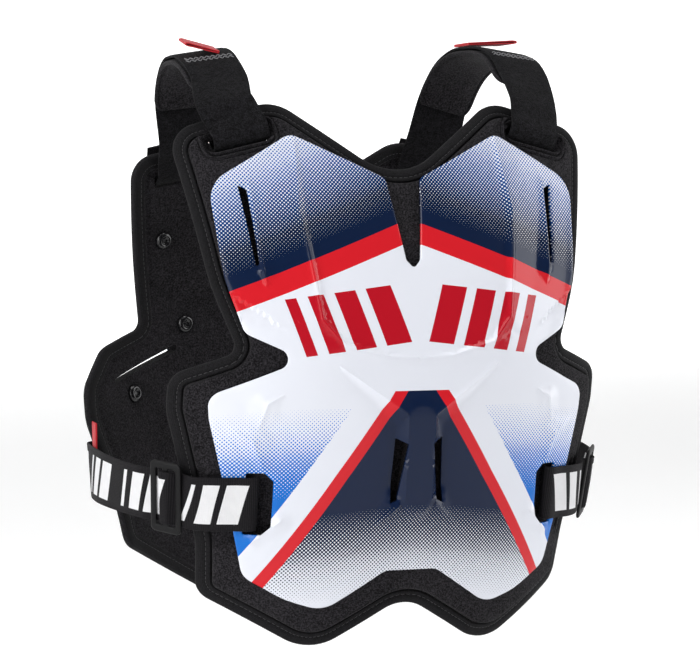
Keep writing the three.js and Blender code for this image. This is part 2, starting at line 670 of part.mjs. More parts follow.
// The shoulder strap's route on the +X side: up behind the front pad's bridge, through the slot, up in
// front of it, over the shoulder, down inside the back pad, through its slot and up outside it.
function shoulderRoute() {
  const clear = SHOULDER_STRAP_THICKNESS / 2 + SLOT_RIM_RISE + STRAP_GAP;
  const behind = -PAD_THICKNESS - SHOULDER_STRAP_THICKNESS / 2 - SLACK;
  const level = new THREE.Vector3(Math.cos(CREST.tilt), 0, -Math.sin(CREST.tilt));
  const turn = (slot, point, rows) => {
    const frame = slotFrame(slot, point);
    return rows.map(({ along, layer }) =>
      frame(along * SLOT_HEIGHT, THREE.MathUtils.lerp(behind, clear, layer)));
  };
  const arch = SHOULDER_ARCH.map(({ across, back, below }) => ({
    at: new THREE.Vector3(
      CREST.across * (1 + across), CREST.back + TORSO_DEPTH * back, SHOULDER_CREST * (1 - below)),
    wide: level,
  }));
  return [
    ...turn(FRONT_SLOT, chestPoint, [FRONT_TAIL, ...SLOT_TURN, FRONT_RISE]),
    ...arch,
    ...turn(BACK_SLOT, backPoint, [BACK_FALL, ...SLOT_TURN, BACK_TAIL]),
  ];
}

const CUSHION_BELOW = (SHOULDER_STRAP_THICKNESS + CUSHION_THICKNESS) / 2 + 2.5 * GAP;
const CUSHION_ENDS = [
  // the cushion's width and thickness at its last stations, as shares of the full ones
  { width: 0.62, thickness: 0.55 },
  { width: 0.86, thickness: 1 },
];
// How far the cushion reaches from the crest, forwards and backwards as shares of the torso's depth, and
// how far it falls below the crest, as shares of the crest's height.
const CUSHION_REACH = { front: 0.223, frontFall: 0.124, back: 0.219, backFall: 0.166 };

// The cushion under the crest of a shoulder strap follows the strap's own middle stretch.
function cushionStations(strap) {
  const { front, frontFall, back, backFall } = CUSHION_REACH;
  const first = strap.findIndex(({ at }) =>
    at.y > CREST.back - front * TORSO_DEPTH && at.z > SHOULDER_CREST * (1 - frontFall));
  const last = strap.findLastIndex(({ at }) =>
    at.y < CREST.back + back * TORSO_DEPTH && at.z > SHOULDER_CREST * (1 - backFall));
  const run = strap.slice(first, last + 1);
  return run.map(({ at, wide }, i) => {
    const before = strap[first + i - 1].at;
    const along = strap[first + i + 1].at.clone().sub(before).normalize();
    const inward = new THREE.Vector3().crossVectors(along, wide).normalize();
    const end = CUSHION_ENDS[Math.min(i, run.length - 1 - i)] ?? { width: 1, thickness: 1 };
    return {
      at: at.clone().addScaledVector(inward, CUSHION_BELOW),
      wide,
      width: CUSHION_WIDTH * end.width,
      thickness: CUSHION_THICKNESS * end.thickness,
    };
  });
}

// The waist strap's route on the +X side: from a tail in the front pad's channel, up through the shell's
// slot, back over the shell's edge, round the rider's side and into the back shell in the same way.
function waistRoute() {
  const over = GAP + SHELL_WALL + WAIST_STRAP_THICKNESS / 2 + STRAP_GAP;
  const tail = (FLANGE_THICKNESS - PAD_THICKNESS) / 2;
  const run = (slot, point, rows) =>
    rows.map(({ out, layer }) => {
      const across = slot.across + out * WAIST_SLOT_WIDTH;
      const wide = point(across, slot.up + 1).sub(point(across, slot.up)).normalize();
      return { at: point(across, slot.up, THREE.MathUtils.lerp(tail, over, layer)), wide };
    });
  const sweep = SIDE_SWEEP.map(({ across, back }, i) => {
    const share = (i + 1) / (SIDE_SWEEP.length + 1);
    const up = THREE.MathUtils.lerp(FRONT_WAIST.up, BACK_WAIST.up, share);
    const halfWidth = THREE.MathUtils.lerp(FRONT_PAD.halfWidth, BACK_PAD.halfWidth, share ** 2);
    return {
      at: new THREE.Vector3(across * halfWidth, back * TORSO_DEPTH, up),
      wide: new THREE.Vector3(0, 0, 1),
    };
  });
  return [
    ...run(FRONT_WAIST, chestPoint, [...WAIST_TURN, ...WAIST_FRONT_RUN]),
    ...sweep,
    ...run(BACK_WAIST, backPoint, [...WAIST_BACK_RUN, ...WAIST_TURN.toReversed()]),
  ];
}

// The strap dips under the buckle's two ends and over its middle bar, and lies straight through it.
function wovenStations(stations, middle) {
  const step = BUCKLE_THICKNESS / 2 + WAIST_STRAP_THICKNESS / 2 + GAP;
  const half = BUCKLE_LENGTH / 2 - BUCKLE_BAR / 2;
  return stations.map((station) => {
    const away = station.at.clone().sub(middle.at);
    const reach = Math.abs(away.dot(middle.along)) / half;
    if (away.length() > 3 * half) return station;
    const { crest, fade, rest } = BUCKLE_WAVE;
    const wave = THREE.MathUtils.clamp(crest * Math.cos(Math.PI * Math.min(reach, 1)), -1, 1);
    const hold = THREE.MathUtils.clamp((fade - reach) / (fade - rest), 0, 1);
    const lift = (step * wave - away.dot(middle.out)) * hold;
    const wide = station.wide.clone().lerp(middle.wide, hold).normalize();
    return { ...station, at: station.at.clone().addScaledVector(middle.out, lift), wide };
  });
}

// The place and directions of a station on a route.
function frameAt(stations, share) {
  const i = Math.round(share * (stations.length - 1));
  const along = stations[i + 1].at.clone().sub(stations[i - 1].at).normalize();
  const wide = stations[i].wide.clone().addScaledVector(along, -stations[i].wide.dot(along)).normalize();
  const out = new THREE.Vector3().crossVectors(along, wide);
  return { at: stations[i].at, along, wide, out };
}

// Stations of a short flat piece that lines a strap's inside, on the strap's facet after a station.
function liningStations(from, to, { length, width, thickness, below, shift }) {
  const along = to.at.clone().sub(from.at).normalize();
  const wide = from.wide.clone().add(to.wide).normalize();
  const inward = new THREE.Vector3().crossVectors(wide, along).normalize();
  const middle = from.at.clone().lerp(to.at, 0.5);
  middle.addScaledVector(inward, below).addScaledVector(wide, shift);
  return [-length / 2, length / 2].map((reach) => ({
    at: middle.clone().addScaledVector(along, reach),
    wide,
    width,
    thickness,
  }));
}

// A slide buckle: a frame with a middle bar. It lies in x and y, with the strap along x.
function buckleGeometry() {
  const halfLength = BUCKLE_LENGTH / 2;
  const halfHeight = BUCKLE_HEIGHT / 2;
  const window = (halfLength - 1.5 * BUCKLE_BAR) / 2;
  const rectangle = (x, y, w, h, radius) =>
    [[-w, h], [w, h], [w, -h], [-w, -h]].map(([s, t]) => ({ at: new THREE.Vector2(x + s, y + t), radius }));
  const frame = shapeOf(rectangle(0, 0, halfLength, halfHeight, BUCKLE_CORNER));
  for (const side of SIDES) {
    const x = side * (BUCKLE_BAR / 2 + window);
    const reach = WAIST_STRAP_WIDTH / 2 + BUCKLE_SIDE_PLAY;
    frame.holes.push(holeOf(rectangle(x, 0, window, reach, BUCKLE_WINDOW_CORNER)));
  }
  const options = { depth: BUCKLE_THICKNESS, steps: 1, bevelEnabled: false };
  return new THREE.ExtrudeGeometry(frame, options).translate(0, 0, -BUCKLE_THICKNESS / 2);
}

// A pull tab: a short flat ribbon with cut corners at its free end. It runs outwards along x.
function tabGeometry() {
  const half = TAB_LENGTH / 2;
  const outline = new THREE.Shape(
    [
      [0, -half],
      [TAB_WIDTH - TAB_CORNER, -half],
      [TAB_WIDTH, TAB_CORNER - half],
      [TAB_WIDTH, half - TAB_CORNER],
      [TAB_WIDTH - TAB_CORNER, half],
      [0, half],
    ].map(([x, y]) => new THREE.Vector2(x, y)));
  return new THREE.ExtrudeGeometry(outline, { depth: TAB_THICKNESS, steps: 1, bevelEnabled: false });
}

// Turns a mesh so that its own x, y and z run along three directions.
function align(mesh, along, wide, out, at) {
  mesh.quaternion.setFromRotationMatrix(new THREE.Matrix4().makeBasis(along, wide, out));
  mesh.position.copy(at);
  return mesh;
}

const named = (name, geometry, finish) => {
  const mesh = new THREE.Mesh(geometry, finish);
  mesh.name = name;
  return mesh;
};
const sideName = (side) => (side > 0 ? "left" : "right");

function addRivets(group, part, rivets, size) {
  for (const side of SIDES) {
    for (const rivet of rivets) {
      const { across, up } = placeOf(rivet, size);
      const mesh = named(`${part}_rivet_${rivet.name}_${sideName(side)}`, rivetGeometry(), BLACK_PLASTIC);
      const out = chestNormal(side * across, up);
      mesh.quaternion.setFromUnitVectors(new THREE.Vector3(0, 0, 1), out);
      mesh.position.copy(chestPoint(side * across, up, -PAD_THICKNESS - RIVET_STAND));
      group.add(mesh);
    }
  }
}

function makeFront() {
  const front = new THREE.Group();
  front.add(
    named("front_pad", padGeometry(
      FRONT_PAD_OUTLINE, FRONT_PAD, FRONT_SLOT, FRONT_WAIST, FRONT_RIVETS, FRONT_SHELL, false), FOAM),
    named("front_binding", bindingGeometry(FRONT_PAD_OUTLINE, FRONT_PAD), BINDING),
    named("front_shell", shellGeometry(
      FRONT_SHELL_OUTLINE, FRONT_SHELL, FRONT_RIDGES, FRONT_WAIST, FRONT_VENTS), FRONT_PLASTIC),
  );
  addRivets(front, "front", FRONT_RIVETS, FRONT_SHELL);
  return front;
}

function makeBack() {
  const back = new THREE.Group();
  back.add(
    named("back_pad", padGeometry(
      BACK_PAD_OUTLINE, BACK_PAD, BACK_SLOT, BACK_WAIST, BACK_RIVETS, BACK_SHELL, true), FOAM),
    named("back_binding", bindingGeometry(BACK_PAD_OUTLINE, BACK_PAD), BINDING),
    named("back_shell", shellGeometry(
      BACK_SHELL_OUTLINE, BACK_SHELL, BACK_RIDGES, BACK_WAIST, []), BACK_PLASTIC),
  );
  addRivets(back, "back", BACK_RIVETS, BACK_SHELL);
  back.rotation.z = Math.PI;
  back.position.y = TORSO_DEPTH;
  return back;
}

// One side's shoulder strap, its cushion and its pull tab, which stands off the strap's outer edge.
function makeShoulder(side) {
  const group = new THREE.Group();
  const name = sideName(side);
  const strap = routeStations(
    shoulderRoute(), evenShares(STRAP_STEPS), SHOULDER_STRAP_WIDTH, SHOULDER_STRAP_THICKNESS);
  const { back, roll } = SHOULDER_TABS[name];
  const over = strap.findIndex(({ at }) => at.y > back && at.z > SHOULDER_CREST / 2);
  const before = strap[over - 1].at;
  const after = strap[over + 1].at;
  const half = SHOULDER_STRAP_WIDTH / 2;
  const clear = SHOULDER_STRAP_THICKNESS / 2 + GAP;
  const lift = half * Math.sin(CREST.tilt) + clear;
  const tab = named(`shoulder_tab_${name}`, tabGeometry(), RED_TAB);
  tab.rotation.set(Math.atan2(after.z - before.z, after.y - before.y), -roll, 0);
  tab.position.copy(strap[over].at).add(new THREE.Vector3(-half, 0, lift));
  group.add(
    named(`shoulder_strap_${name}`, bandGeometry(strap), LOOP_WEBBING),
    named(`shoulder_cushion_${name}`, bandGeometry(cushionStations(strap)), FOAM),
    tab,
  );
  group.scale.x = side;
  return group;
}

// One side's waist strap, its slide buckle and the red tab at the back pad's edge.
function makeWaist(side) {
  const group = new THREE.Group();
  const name = sideName(side);
  const route = waistRoute();
  const { share, reach } = BUCKLE_AT;
  const shares = [
    ...evenShares(WAIST_STEPS.front, 0, share - reach),
    ...evenShares(WAIST_STEPS.buckle, share - reach, share + reach).slice(1),
    ...evenShares(WAIST_STEPS.back, share + reach, 1).slice(1),
  ];
  const plain = routeStations(route, shares, WAIST_STRAP_WIDTH, WAIST_STRAP_THICKNESS);
  const near = routeStations(route, evenShares(2, share - reach / 10, share + reach / 10), 0, 0);
  const middle = frameAt(near, 0.5);
  const strap = wovenStations(plain, middle);
  const buckle = named(`waist_buckle_${name}`, buckleGeometry(), BLACK_PLASTIC);
  align(buckle, middle.along, middle.wide, middle.out, middle.at);
  const lined = shares.findIndex((at) => at > WAIST_TAB_SHARE);
  const tab = liningStations(strap[lined - 1], strap[lined], {
    length: WAIST_TAB_LENGTH,
    width: WAIST_TAB_HEIGHT,
    thickness: TAB_THICKNESS,
    below: (WAIST_STRAP_THICKNESS + TAB_THICKNESS) / 2 + 2 * GAP,
    shift: WAIST_TAB_SHIFT,
  });
  group.add(
    named(`waist_strap_${name}`, bandGeometry(strap), ELASTIC),
    named(`waist_tab_${name}`, bandGeometry(tab), RED_TAB),
    buckle,
  );
  group.scale.x = side;
  return group;
}

const protector = new THREE.Group();
protector.add(makeFront(), makeBack());
for (const side of SIDES) protector.add(makeShoulder(side), makeWaist(side));
const hang = SHOULDER_CREST - CUSHION_BELOW - CUSHION_THICKNESS / 2;
protector.position.set(0, -CREST.back, -hang);

const roostDeflector = new THREE.Group();
roostDeflector.add(protector);
export default roostDeflector;
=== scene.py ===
import math

import bmesh
import bpy
import numpy as np
from mathutils import Matrix, Vector
from mathutils.geometry import delaunay_2d_cdt

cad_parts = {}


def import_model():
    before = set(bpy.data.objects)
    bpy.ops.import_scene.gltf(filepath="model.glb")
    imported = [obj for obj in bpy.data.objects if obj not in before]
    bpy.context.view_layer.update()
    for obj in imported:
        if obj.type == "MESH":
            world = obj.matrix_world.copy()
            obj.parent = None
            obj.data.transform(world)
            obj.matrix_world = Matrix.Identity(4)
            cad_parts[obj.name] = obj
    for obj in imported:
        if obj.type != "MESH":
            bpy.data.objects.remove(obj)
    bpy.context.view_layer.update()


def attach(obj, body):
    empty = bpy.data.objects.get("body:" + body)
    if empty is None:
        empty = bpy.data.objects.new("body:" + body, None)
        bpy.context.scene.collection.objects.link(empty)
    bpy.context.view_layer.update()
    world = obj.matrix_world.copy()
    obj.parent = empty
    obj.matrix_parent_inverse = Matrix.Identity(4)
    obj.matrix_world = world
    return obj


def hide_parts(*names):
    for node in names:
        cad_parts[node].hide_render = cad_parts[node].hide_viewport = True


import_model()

# Looks for the roost deflector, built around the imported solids. All shapes are worked out in
# millimetres in the chest's own frame, x across, y back from the chest, z up from the waist, and
# world() carries them to the row's frame in metres.
ORIGIN = np.array([0.0, 144.0, 208.425])
# From the front pad's flat origin to the back pad's.
DEPTH = 278.0
# How far the chest curves back at its sides, at the top, waist and bottom, and leans back from BULGE.
WRAP, WRAP_HALF, WRAP_POWER = (26.0, 49.0, 87.0), 170, 2.7
LEAN, LEAN_HEIGHT = (53.0, 27.5), 200
BULGE = -25.0
SIDES = (-1, 1)
BAND_SHARP = 50


def world(points):
    return (np.atleast_2d(np.asarray(points, float)) - ORIGIN) / 1000


def depth(x, z):
    level = z / LEAN_HEIGHT
    top, middle, low = WRAP
    wrap = middle + (top - low) / 2 * level + ((top + low) / 2 - middle) * level ** 2
    lean = np.where(z > BULGE, LEAN[0], LEAN[1]) * ((z - BULGE) / LEAN_HEIGHT) ** 2
    return wrap * (np.abs(x) / WRAP_HALF) ** WRAP_POWER + lean


def unit(v):
    return v / np.linalg.norm(v, axis=-1, keepdims=True)


def normal(x, z):
    e = 0.05
    return unit(np.stack([(depth(x + e, z) - depth(x - e, z)) / (2 * e), -np.ones_like(x),
                          (depth(x, z + e) - depth(x, z - e)) / (2 * e)], -1))


def chest(x, z, h):
    x, z, h = (np.asarray(v, float) + np.zeros(np.broadcast(x, z, h).shape) for v in (x, z, h))
    return np.stack([x, depth(x, z), z], -1) + normal(x, z) * h[..., None]


def turned(points):
    """The back's pieces are the front's, turned half round."""
    return np.asarray(points) * [-1, -1, 1] + [0, DEPTH, 0]


# ------ flat outlines
FRONT_PAD = (174, 182, 225, [
    (0, .66, .27), (.497, 1, .172), (.96, .868, .126), (.845, .253, .86), (.744, -.009, .052),
    (.997, -.087, .092), (1, -.2, .23), (.865, -.631, .345), (.848, -.804, .103), (.402, -1, .218),
    (0, -.818, .172)])
BACK_PAD = (195, 153, 206, [
    (0, .67, .24), (.395, 1, .133), (.754, .9, .103), (.708, .387, .77), (.672, .039, .046),
    (.882, -.044, .103), (.997, -.184, .128), (1, -.301, .154), (.856, -.641, .308),
    (.831, -.767, .082), (.359, -1, .195), (0, -.811, .154)])
FRONT_SHELL = (147, 154, 190, [
    (0, .3645, .02), (.038, .406, .027), (.092, .79, .041), (.551, 1, .082), (.973, .768, .163),
    (.932, .335, .816), (.844, .077, .068), (.578, -.037, .051), (1, -.174, .109), (.99, -.263, .272),
    (.806, -.868, .102), (.612, -.958, .408), (.435, -1, .15), (.136, -.85, .082)])
BACK_SHELL = (158, 109, 178, [
    (0, .672, .19), (.443, 1, .101), (.797, .74, .127), (.747, .4, .76), (.709, .11, .076),
    (.582, -.112, .057), (1, -.292, .114), (.987, -.4, .19), (.823, -.82, .114), (.418, -1, .152),
    (0, -.803, .152)])


def corners(table):
    half, rise, drop, rows = table
    side = [((a * half, u * (rise if u > 0 else drop)), b * half) for a, u, b in rows]
    return side + [((-p[0], p[1]), r) for p, r in reversed(side) if p[0] > 0]


def rounded(points, step=0.1, longest=5.0):
    """A closed loop through rounded corners, as an (n, 2) array."""
    out, n = [], len(points)
    for i, (at, radius) in enumerate(points):
        at = np.array(at, float)
        a = np.array(points[i - 1][0]) - at
        b = np.array(points[(i + 1) % n][0]) - at
        la, lb = np.linalg.norm(a), np.linalg.norm(b)
        a, b = a / la, b / lb
        half = math.acos(np.clip(a @ b, -1, 1)) / 2
        tangent = min(radius / math.tan(half), la * .49, lb * .49)
        fitted = tangent * math.tan(half)
        mid = (a + b) / np.linalg.norm(a + b)
        centre = at + mid * fitted / math.sin(half)
        p, q = at + a * tangent - centre, at + b * tangent - centre
        turn = math.pi - 2 * half
        sign = 1 if p[0] * q[1] - p[1] * q[0] > 0 else -1
        steps = max(2, round(turn / step))
        for k in range(steps + 1):
            t = sign * turn * k / steps
            c, s = math.cos(t), math.sin(t)
            out.append(centre + [p[0] * c - p[1] * s, p[0] * s + p[1] * c])
    loop = []
    for i, p in enumerate(out):
        q = out[(i + 1) % len(out)]
        pieces = max(1, math.ceil(np.linalg.norm(q - p) / longest))
        loop += [p + (q - p) * k / pieces for k in range(pieces)]
    return np.array(loop)


def clean(loop, least=0.4):
    """Drops points that nearly coincide."""
    keep = [loop[0]]
    for p in loop[1:]:
        if np.linalg.norm(p - keep[-1]) > least:
            keep.append(p)
    if np.linalg.norm(keep[-1] - keep[0]) < least:
        keep.pop()
    return np.array(keep)


def area(loop):
    x, y = loop[:, 0], loop[:, 1]
    return 0.5 * np.sum(x * np.roll(y, -1) - np.roll(x, -1) * y)


def inset(loop, d):
    """The loop moved inwards by d, or outwards where d is negative."""
    e = unit(np.roll(loop, -1, 0) - np.roll(loop, 1, 0))
    side = 1 if area(loop) > 0 else -1
    return loop + side * d * np.stack([-e[:, 1], e[:, 0]], 1)


def inside(points, loop):
    x, y = points[:, 0:1], points[:, 1:2]
    a, b = loop, np.roll(loop, -1, 0)
    crosses = (a[:, 1] > y) != (b[:, 1] > y)
    with np.errstate(divide="ignore", invalid="ignore"):
        at = (b[:, 0] - a[:, 0]) * (y - a[:, 1]) / (b[:, 1] - a[:, 1]) + a[:, 0]
    return (np.sum(crosses & (x < at), 1) % 2) == 1


def away(points, line, closed=True):
    """How far each point is from a line of points."""
    a = line if closed else line[:-1]
    b = np.roll(line, -1, 0) if closed else line[1:]
    d = b - a
    best = np.full(len(points), 1e9)
    for i in range(0, len(points), 2000):
        p = points[i:i + 2000, None, :]
        t = np.clip(np.sum((p - a) * d, -1) / np.maximum(np.sum(d * d, -1), 1e-9), 0, 1)
        best[i:i + 2000] = np.min(np.linalg.norm(p - a - t[..., None] * d, axis=-1), 1)
    return best


def distances(line):
    """How far along a line of points each point lies."""
    return np.concatenate([[0], np.cumsum(np.linalg.norm(np.diff(line, axis=0), axis=1))])


def sampled(line, run, at):
    """The places on a line at the runs given."""
    return np.stack([np.interp(at, run, column) for column in line.T], 1)


# ------ meshes
def link(obj):
    bpy.context.scene.collection.objects.link(obj)
    return obj


def finish_mesh(name, verts, faces, uv=None, sharp=38):
    mesh = bpy.data.meshes.new(name)
    mesh.from_pydata([tuple(v) for v in world(verts)], [], [tuple(int(i) for i in f) for f in faces])
    mesh.validate()
    obj = link(bpy.data.objects.new(name, mesh))
    if uv is not None:
        layer = mesh.uv_layers.new(name="flat")
        index = np.empty(len(mesh.loops), int)
        mesh.loops.foreach_get("vertex_index", index)
        layer.data.foreach_set("uv", (np.asarray(uv, float)[index] / 1000).ravel())
    bm = bmesh.new()
    bm.from_mesh(mesh)
    bmesh.ops.recalc_face_normals(bm, faces=bm.faces)
    for f in bm.faces:
        f.smooth = True
    for e in bm.edges:
        e.smooth = not (len(e.link_faces) == 2 and e.calc_face_angle(0) > math.radians(sharp))
    bm.to_mesh(mesh)
    bm.free()
    return obj


def plate(name, outline, top, bottom, cell, holes=(), loops=(), lines=(), back=False, sharp=38,
          place=chest):
    """A closed plate: a flat outline with holes, carried to heights top and bottom over the chest, or to
    another place. loops and lines are extra edges that the mesh follows, closed and open."""
    box = np.array([outline.min(0), outline.max(0)])
    nx, nz = (np.ceil((box[1] - box[0]) / cell)).astype(int)
    gx, gz = np.meshgrid(*(np.linspace(*box[:, i], n + 1) for i, n in enumerate((nx, nz))))
    gx = gx + (np.arange(nz + 1) % 2)[:, None] * cell / 2
    grid = np.stack([gx.ravel(), gz.ravel()], 1)
    grid = grid[inside(grid, outline)]
    closed = [clean(l) for l in (outline, *holes, *loops)]
    for loop in closed:
        grid = grid[away(grid, loop) > cell * .4]
    for line in lines:
        grid = grid[away(grid, line, False) > cell * .4]
    for hole in holes:
        grid = grid[~inside(grid, hole)]
    points, edges = [Vector(p) for p in grid], []
    for loop in closed:
        n, k = len(points), len(loop)
        points += [Vector(p) for p in loop]
        edges += [(n + i, n + (i + 1) % k) for i in range(k)]
    for line in lines:
        n, k = len(points), len(line)
        points += [Vector(p) for p in line]
        edges += [(n + i, n + i + 1) for i in range(k - 1)]
    flat, _, tris, *_ = delaunay_2d_cdt(points, edges, [], 0, 1e-3)
    flat = np.array([tuple(p) for p in flat])
    tris = np.array([t for t in tris if len(t) == 3])
    centre = flat[tris].mean(1)
    keep = inside(centre, closed[0])
    for hole in closed[1:1 + len(holes)]:
        keep &= ~inside(centre, hole)
    tris = tris[keep]
    used = np.unique(tris)
    renumber = np.full(len(flat), -1)
    renumber[used] = np.arange(len(used))
    flat, tris = flat[used], renumber[tris]
    n = len(flat)
    x, z = flat[:, 0], flat[:, 1]
    verts = np.concatenate([place(x, z, top(flat)), place(x, z, bottom(flat))])
    seen = {}
    for t in tris:
        for i in range(3):
            a, b = int(t[i]), int(t[(i + 1) % 3])
            seen.setdefault((min(a, b), max(a, b)), []).append((a, b))
    rim = [v[0] for v in seen.values() if len(v) == 1]
    faces = [tuple(t) for t in tris] + [(t[0] + n, t[2] + n, t[1] + n) for t in tris]
    faces += [(a, a + n, b + n, b) for a, b in rim]
    if back:
        verts = turned(verts)
    return finish_mesh(name, verts, faces, np.concatenate([flat, flat]), sharp)


def sweep_loop(name, loop, profile, back=False):
    """A closed band that follows a loop; profile gives how far inwards and how high each point lies."""
    rings = [chest(*inset(loop, d).T, np.full(len(loop), h)) for d, h in profile]
    n, k = len(loop), len(profile)
    verts = np.concatenate(rings)
    faces = [(j * n + i, j * n + (i + 1) % n, ((j + 1) % k) * n + (i + 1) % n, ((j + 1) % k) * n + i)
             for j in range(k) for i in range(n)]
    length = distances(loop)
    uv = np.concatenate([np.stack([length, np.full(n, d)], 1) for d, _ in profile])
    if back:
        verts = turned(verts)
    return finish_mesh(name, verts, faces, uv, BAND_SHARP)


def spline(points, step):
    """Points at an even step along a smooth curve through the given points, with where each lies
    between them."""
    p = np.asarray(points, float)
    p = np.concatenate([[2 * p[0] - p[1]], p, [2 * p[-1] - p[-2]]])
    out, share = [], []
    for i in range(1, len(p) - 2):
        k = [0.0]
        for a, b in zip(p[i - 1:i + 2], p[i:i + 3]):
            k.append(k[-1] + max(np.linalg.norm(b - a) ** .5, 1e-4))
        for t in np.linspace(k[1], k[2], 24, endpoint=False):
            a = [(k[j + 1] - t) / (k[j + 1] - k[j]) * p[i - 1 + j]
                 + (t - k[j]) / (k[j + 1] - k[j]) * p[i + j] for j in range(3)]
            b = [(k[j + 2] - t) / (k[j + 2] - k[j]) * a[j] + (t - k[j]) / (k[j + 2] - k[j]) * a[j + 1]
                 for j in range(2)]
            out.append((k[2] - t) / (k[2] - k[1]) * b[0] + (t - k[1]) / (k[2] - k[1]) * b[1])
            share.append(i - 1 + (t - k[1]) / (k[2] - k[1]))
    out.append(p[-2])
    share.append(len(p) - 3)
    out, share = np.array(out), np.array(share)
    run = distances(out)
    at = np.linspace(0, run[-1], max(2, round(run[-1] / step)) + 1)
    return sampled(out, run, at), np.interp(at, run, share), at


def ribbon_frames(route, step):
    """The line of a flat strap, with its directions along, across and out, and the run at each."""
    line, share, run = spline([p for p, _ in route], step)
    wide = np.array([w for _, w in route], float)
    across = sampled(wide, np.arange(len(wide)), share)
    along = unit(np.gradient(line, axis=0))
    across = unit(across - np.sum(across * along, 1, keepdims=True) * along)
    return line, along, across, np.cross(along, across), run


def band(name, line, across, out, run, section, mirror=False, sharp=BAND_SHARP, scale=None):
    """A band with the given closed section of (across, out) points, swept along a line."""
    section = np.asarray(section, float)
    n, k = len(line), len(section)
    size = np.ones((n, 2)) if scale is None else scale
    verts = (line[:, None] + across[:, None] * (section[None, :, 0:1] * size[:, None, 0:1])
             + out[:, None] * (section[None, :, 1:2] * size[:, None, 1:2])).reshape(-1, 3)
    faces = [(i * k + j, i * k + (j + 1) % k, (i + 1) * k + (j + 1) % k, (i + 1) * k + j)
             for i in range(n - 1) for j in range(k)]
    faces += [tuple(range(k))[::-1], tuple((n - 1) * k + j for j in range(k))]
    uv = np.stack(np.broadcast_arrays(run[:, None], section[None, :, 0]), -1).reshape(-1, 2)
    if mirror:
        verts = verts * [-1, 1, 1]
    return finish_mesh(name, verts, faces, uv, sharp)


def lathe(name, profile, at, axis, segments=28, sharp=40):
    """A turned piece; profile is (radius, height) along the axis."""
    axis = np.asarray(axis, float) / np.linalg.norm(axis)
    side = np.cross(axis, [0, 0, 1.0])
    side /= np.linalg.norm(side)
    up = np.cross(axis, side)
    verts, faces, k = [], [], len(profile)
    for i in range(segments):
        t = 2 * math.pi * i / segments
        r = side * math.cos(t) + up * math.sin(t)
        verts += [at + r * radius + axis * height for radius, height in profile]
        j = (i + 1) % segments
        faces += [(i * k + m, i * k + m + 1, j * k + m + 1, j * k + m) for m in range(k - 1)]
    faces += [tuple(i * k for i in range(segments)), tuple(i * k + k - 1 for i in range(segments))]
    return finish_mesh(name, np.array(verts), faces, None, sharp)


def rods(name, starts, ends, width, height, out):
    """Many short threads in one mesh: a six-sided rod from each start to each end."""
    verts, faces = [], []
    for a, b, o in zip(starts, ends, out):
        d = b - a
        s = np.cross(d, o)
        s /= np.linalg.norm(s)
        n = len(verts)
        for share, size in ((0, .45), (.2, 1), (.8, 1), (1, .45)):
            for t in range(6):
                angle = math.pi * t / 3
                verts.append(a + d * share + s * math.cos(angle) * width / 2 * size
                             + o * math.sin(angle) * height / 2 * size)
        for j in range(3):
            for t in range(6):
                faces.append((n + j * 6 + t, n + j * 6 + (t + 1) % 6,
                              n + j * 6 + 6 + (t + 1) % 6, n + j * 6 + 6 + t))
        faces += [tuple(n + t for t in range(6))[::-1], tuple(n + 18 + t for t in range(6))]
    return finish_mesh(name, np.array(verts), faces, None, 70)


# ------ material nodes
class Val:
    """A number or colour in a material's nodes, so that a pattern reads as plain arithmetic."""

    def __init__(self, tree, socket):
        self.tree, self.socket = tree, socket

    def _math(self, kind, *others, clamp=False):
        node = self.tree.nodes.new("ShaderNodeMath")
        node.operation, node.use_clamp = kind, clamp
        for slot_in, value in zip(node.inputs, (self, *others)):
            if isinstance(value, Val):
                self.tree.links.new(value.socket, slot_in)
            else:
                slot_in.default_value = value
        return Val(self.tree, node.outputs[0])

    def __rsub__(self, o):
        return (self * -1) + o

    def clamp(self):
        return self._math("ADD", 0.0, clamp=True)


for method, kind in (("__add__", "ADD"), ("__sub__", "SUBTRACT"), ("__mul__", "MULTIPLY"), ("abs", "ABSOLUTE"),
                     ("__truediv__", "DIVIDE"), ("__gt__", "GREATER_THAN"), ("__lt__", "LESS_THAN"),
                     ("cos", "COSINE"), ("sin", "SINE"), ("mod", "FLOORED_MODULO"), ("max", "MAXIMUM")):
    setattr(Val, method, lambda self, *others, kind=kind: self._math(kind, *others))


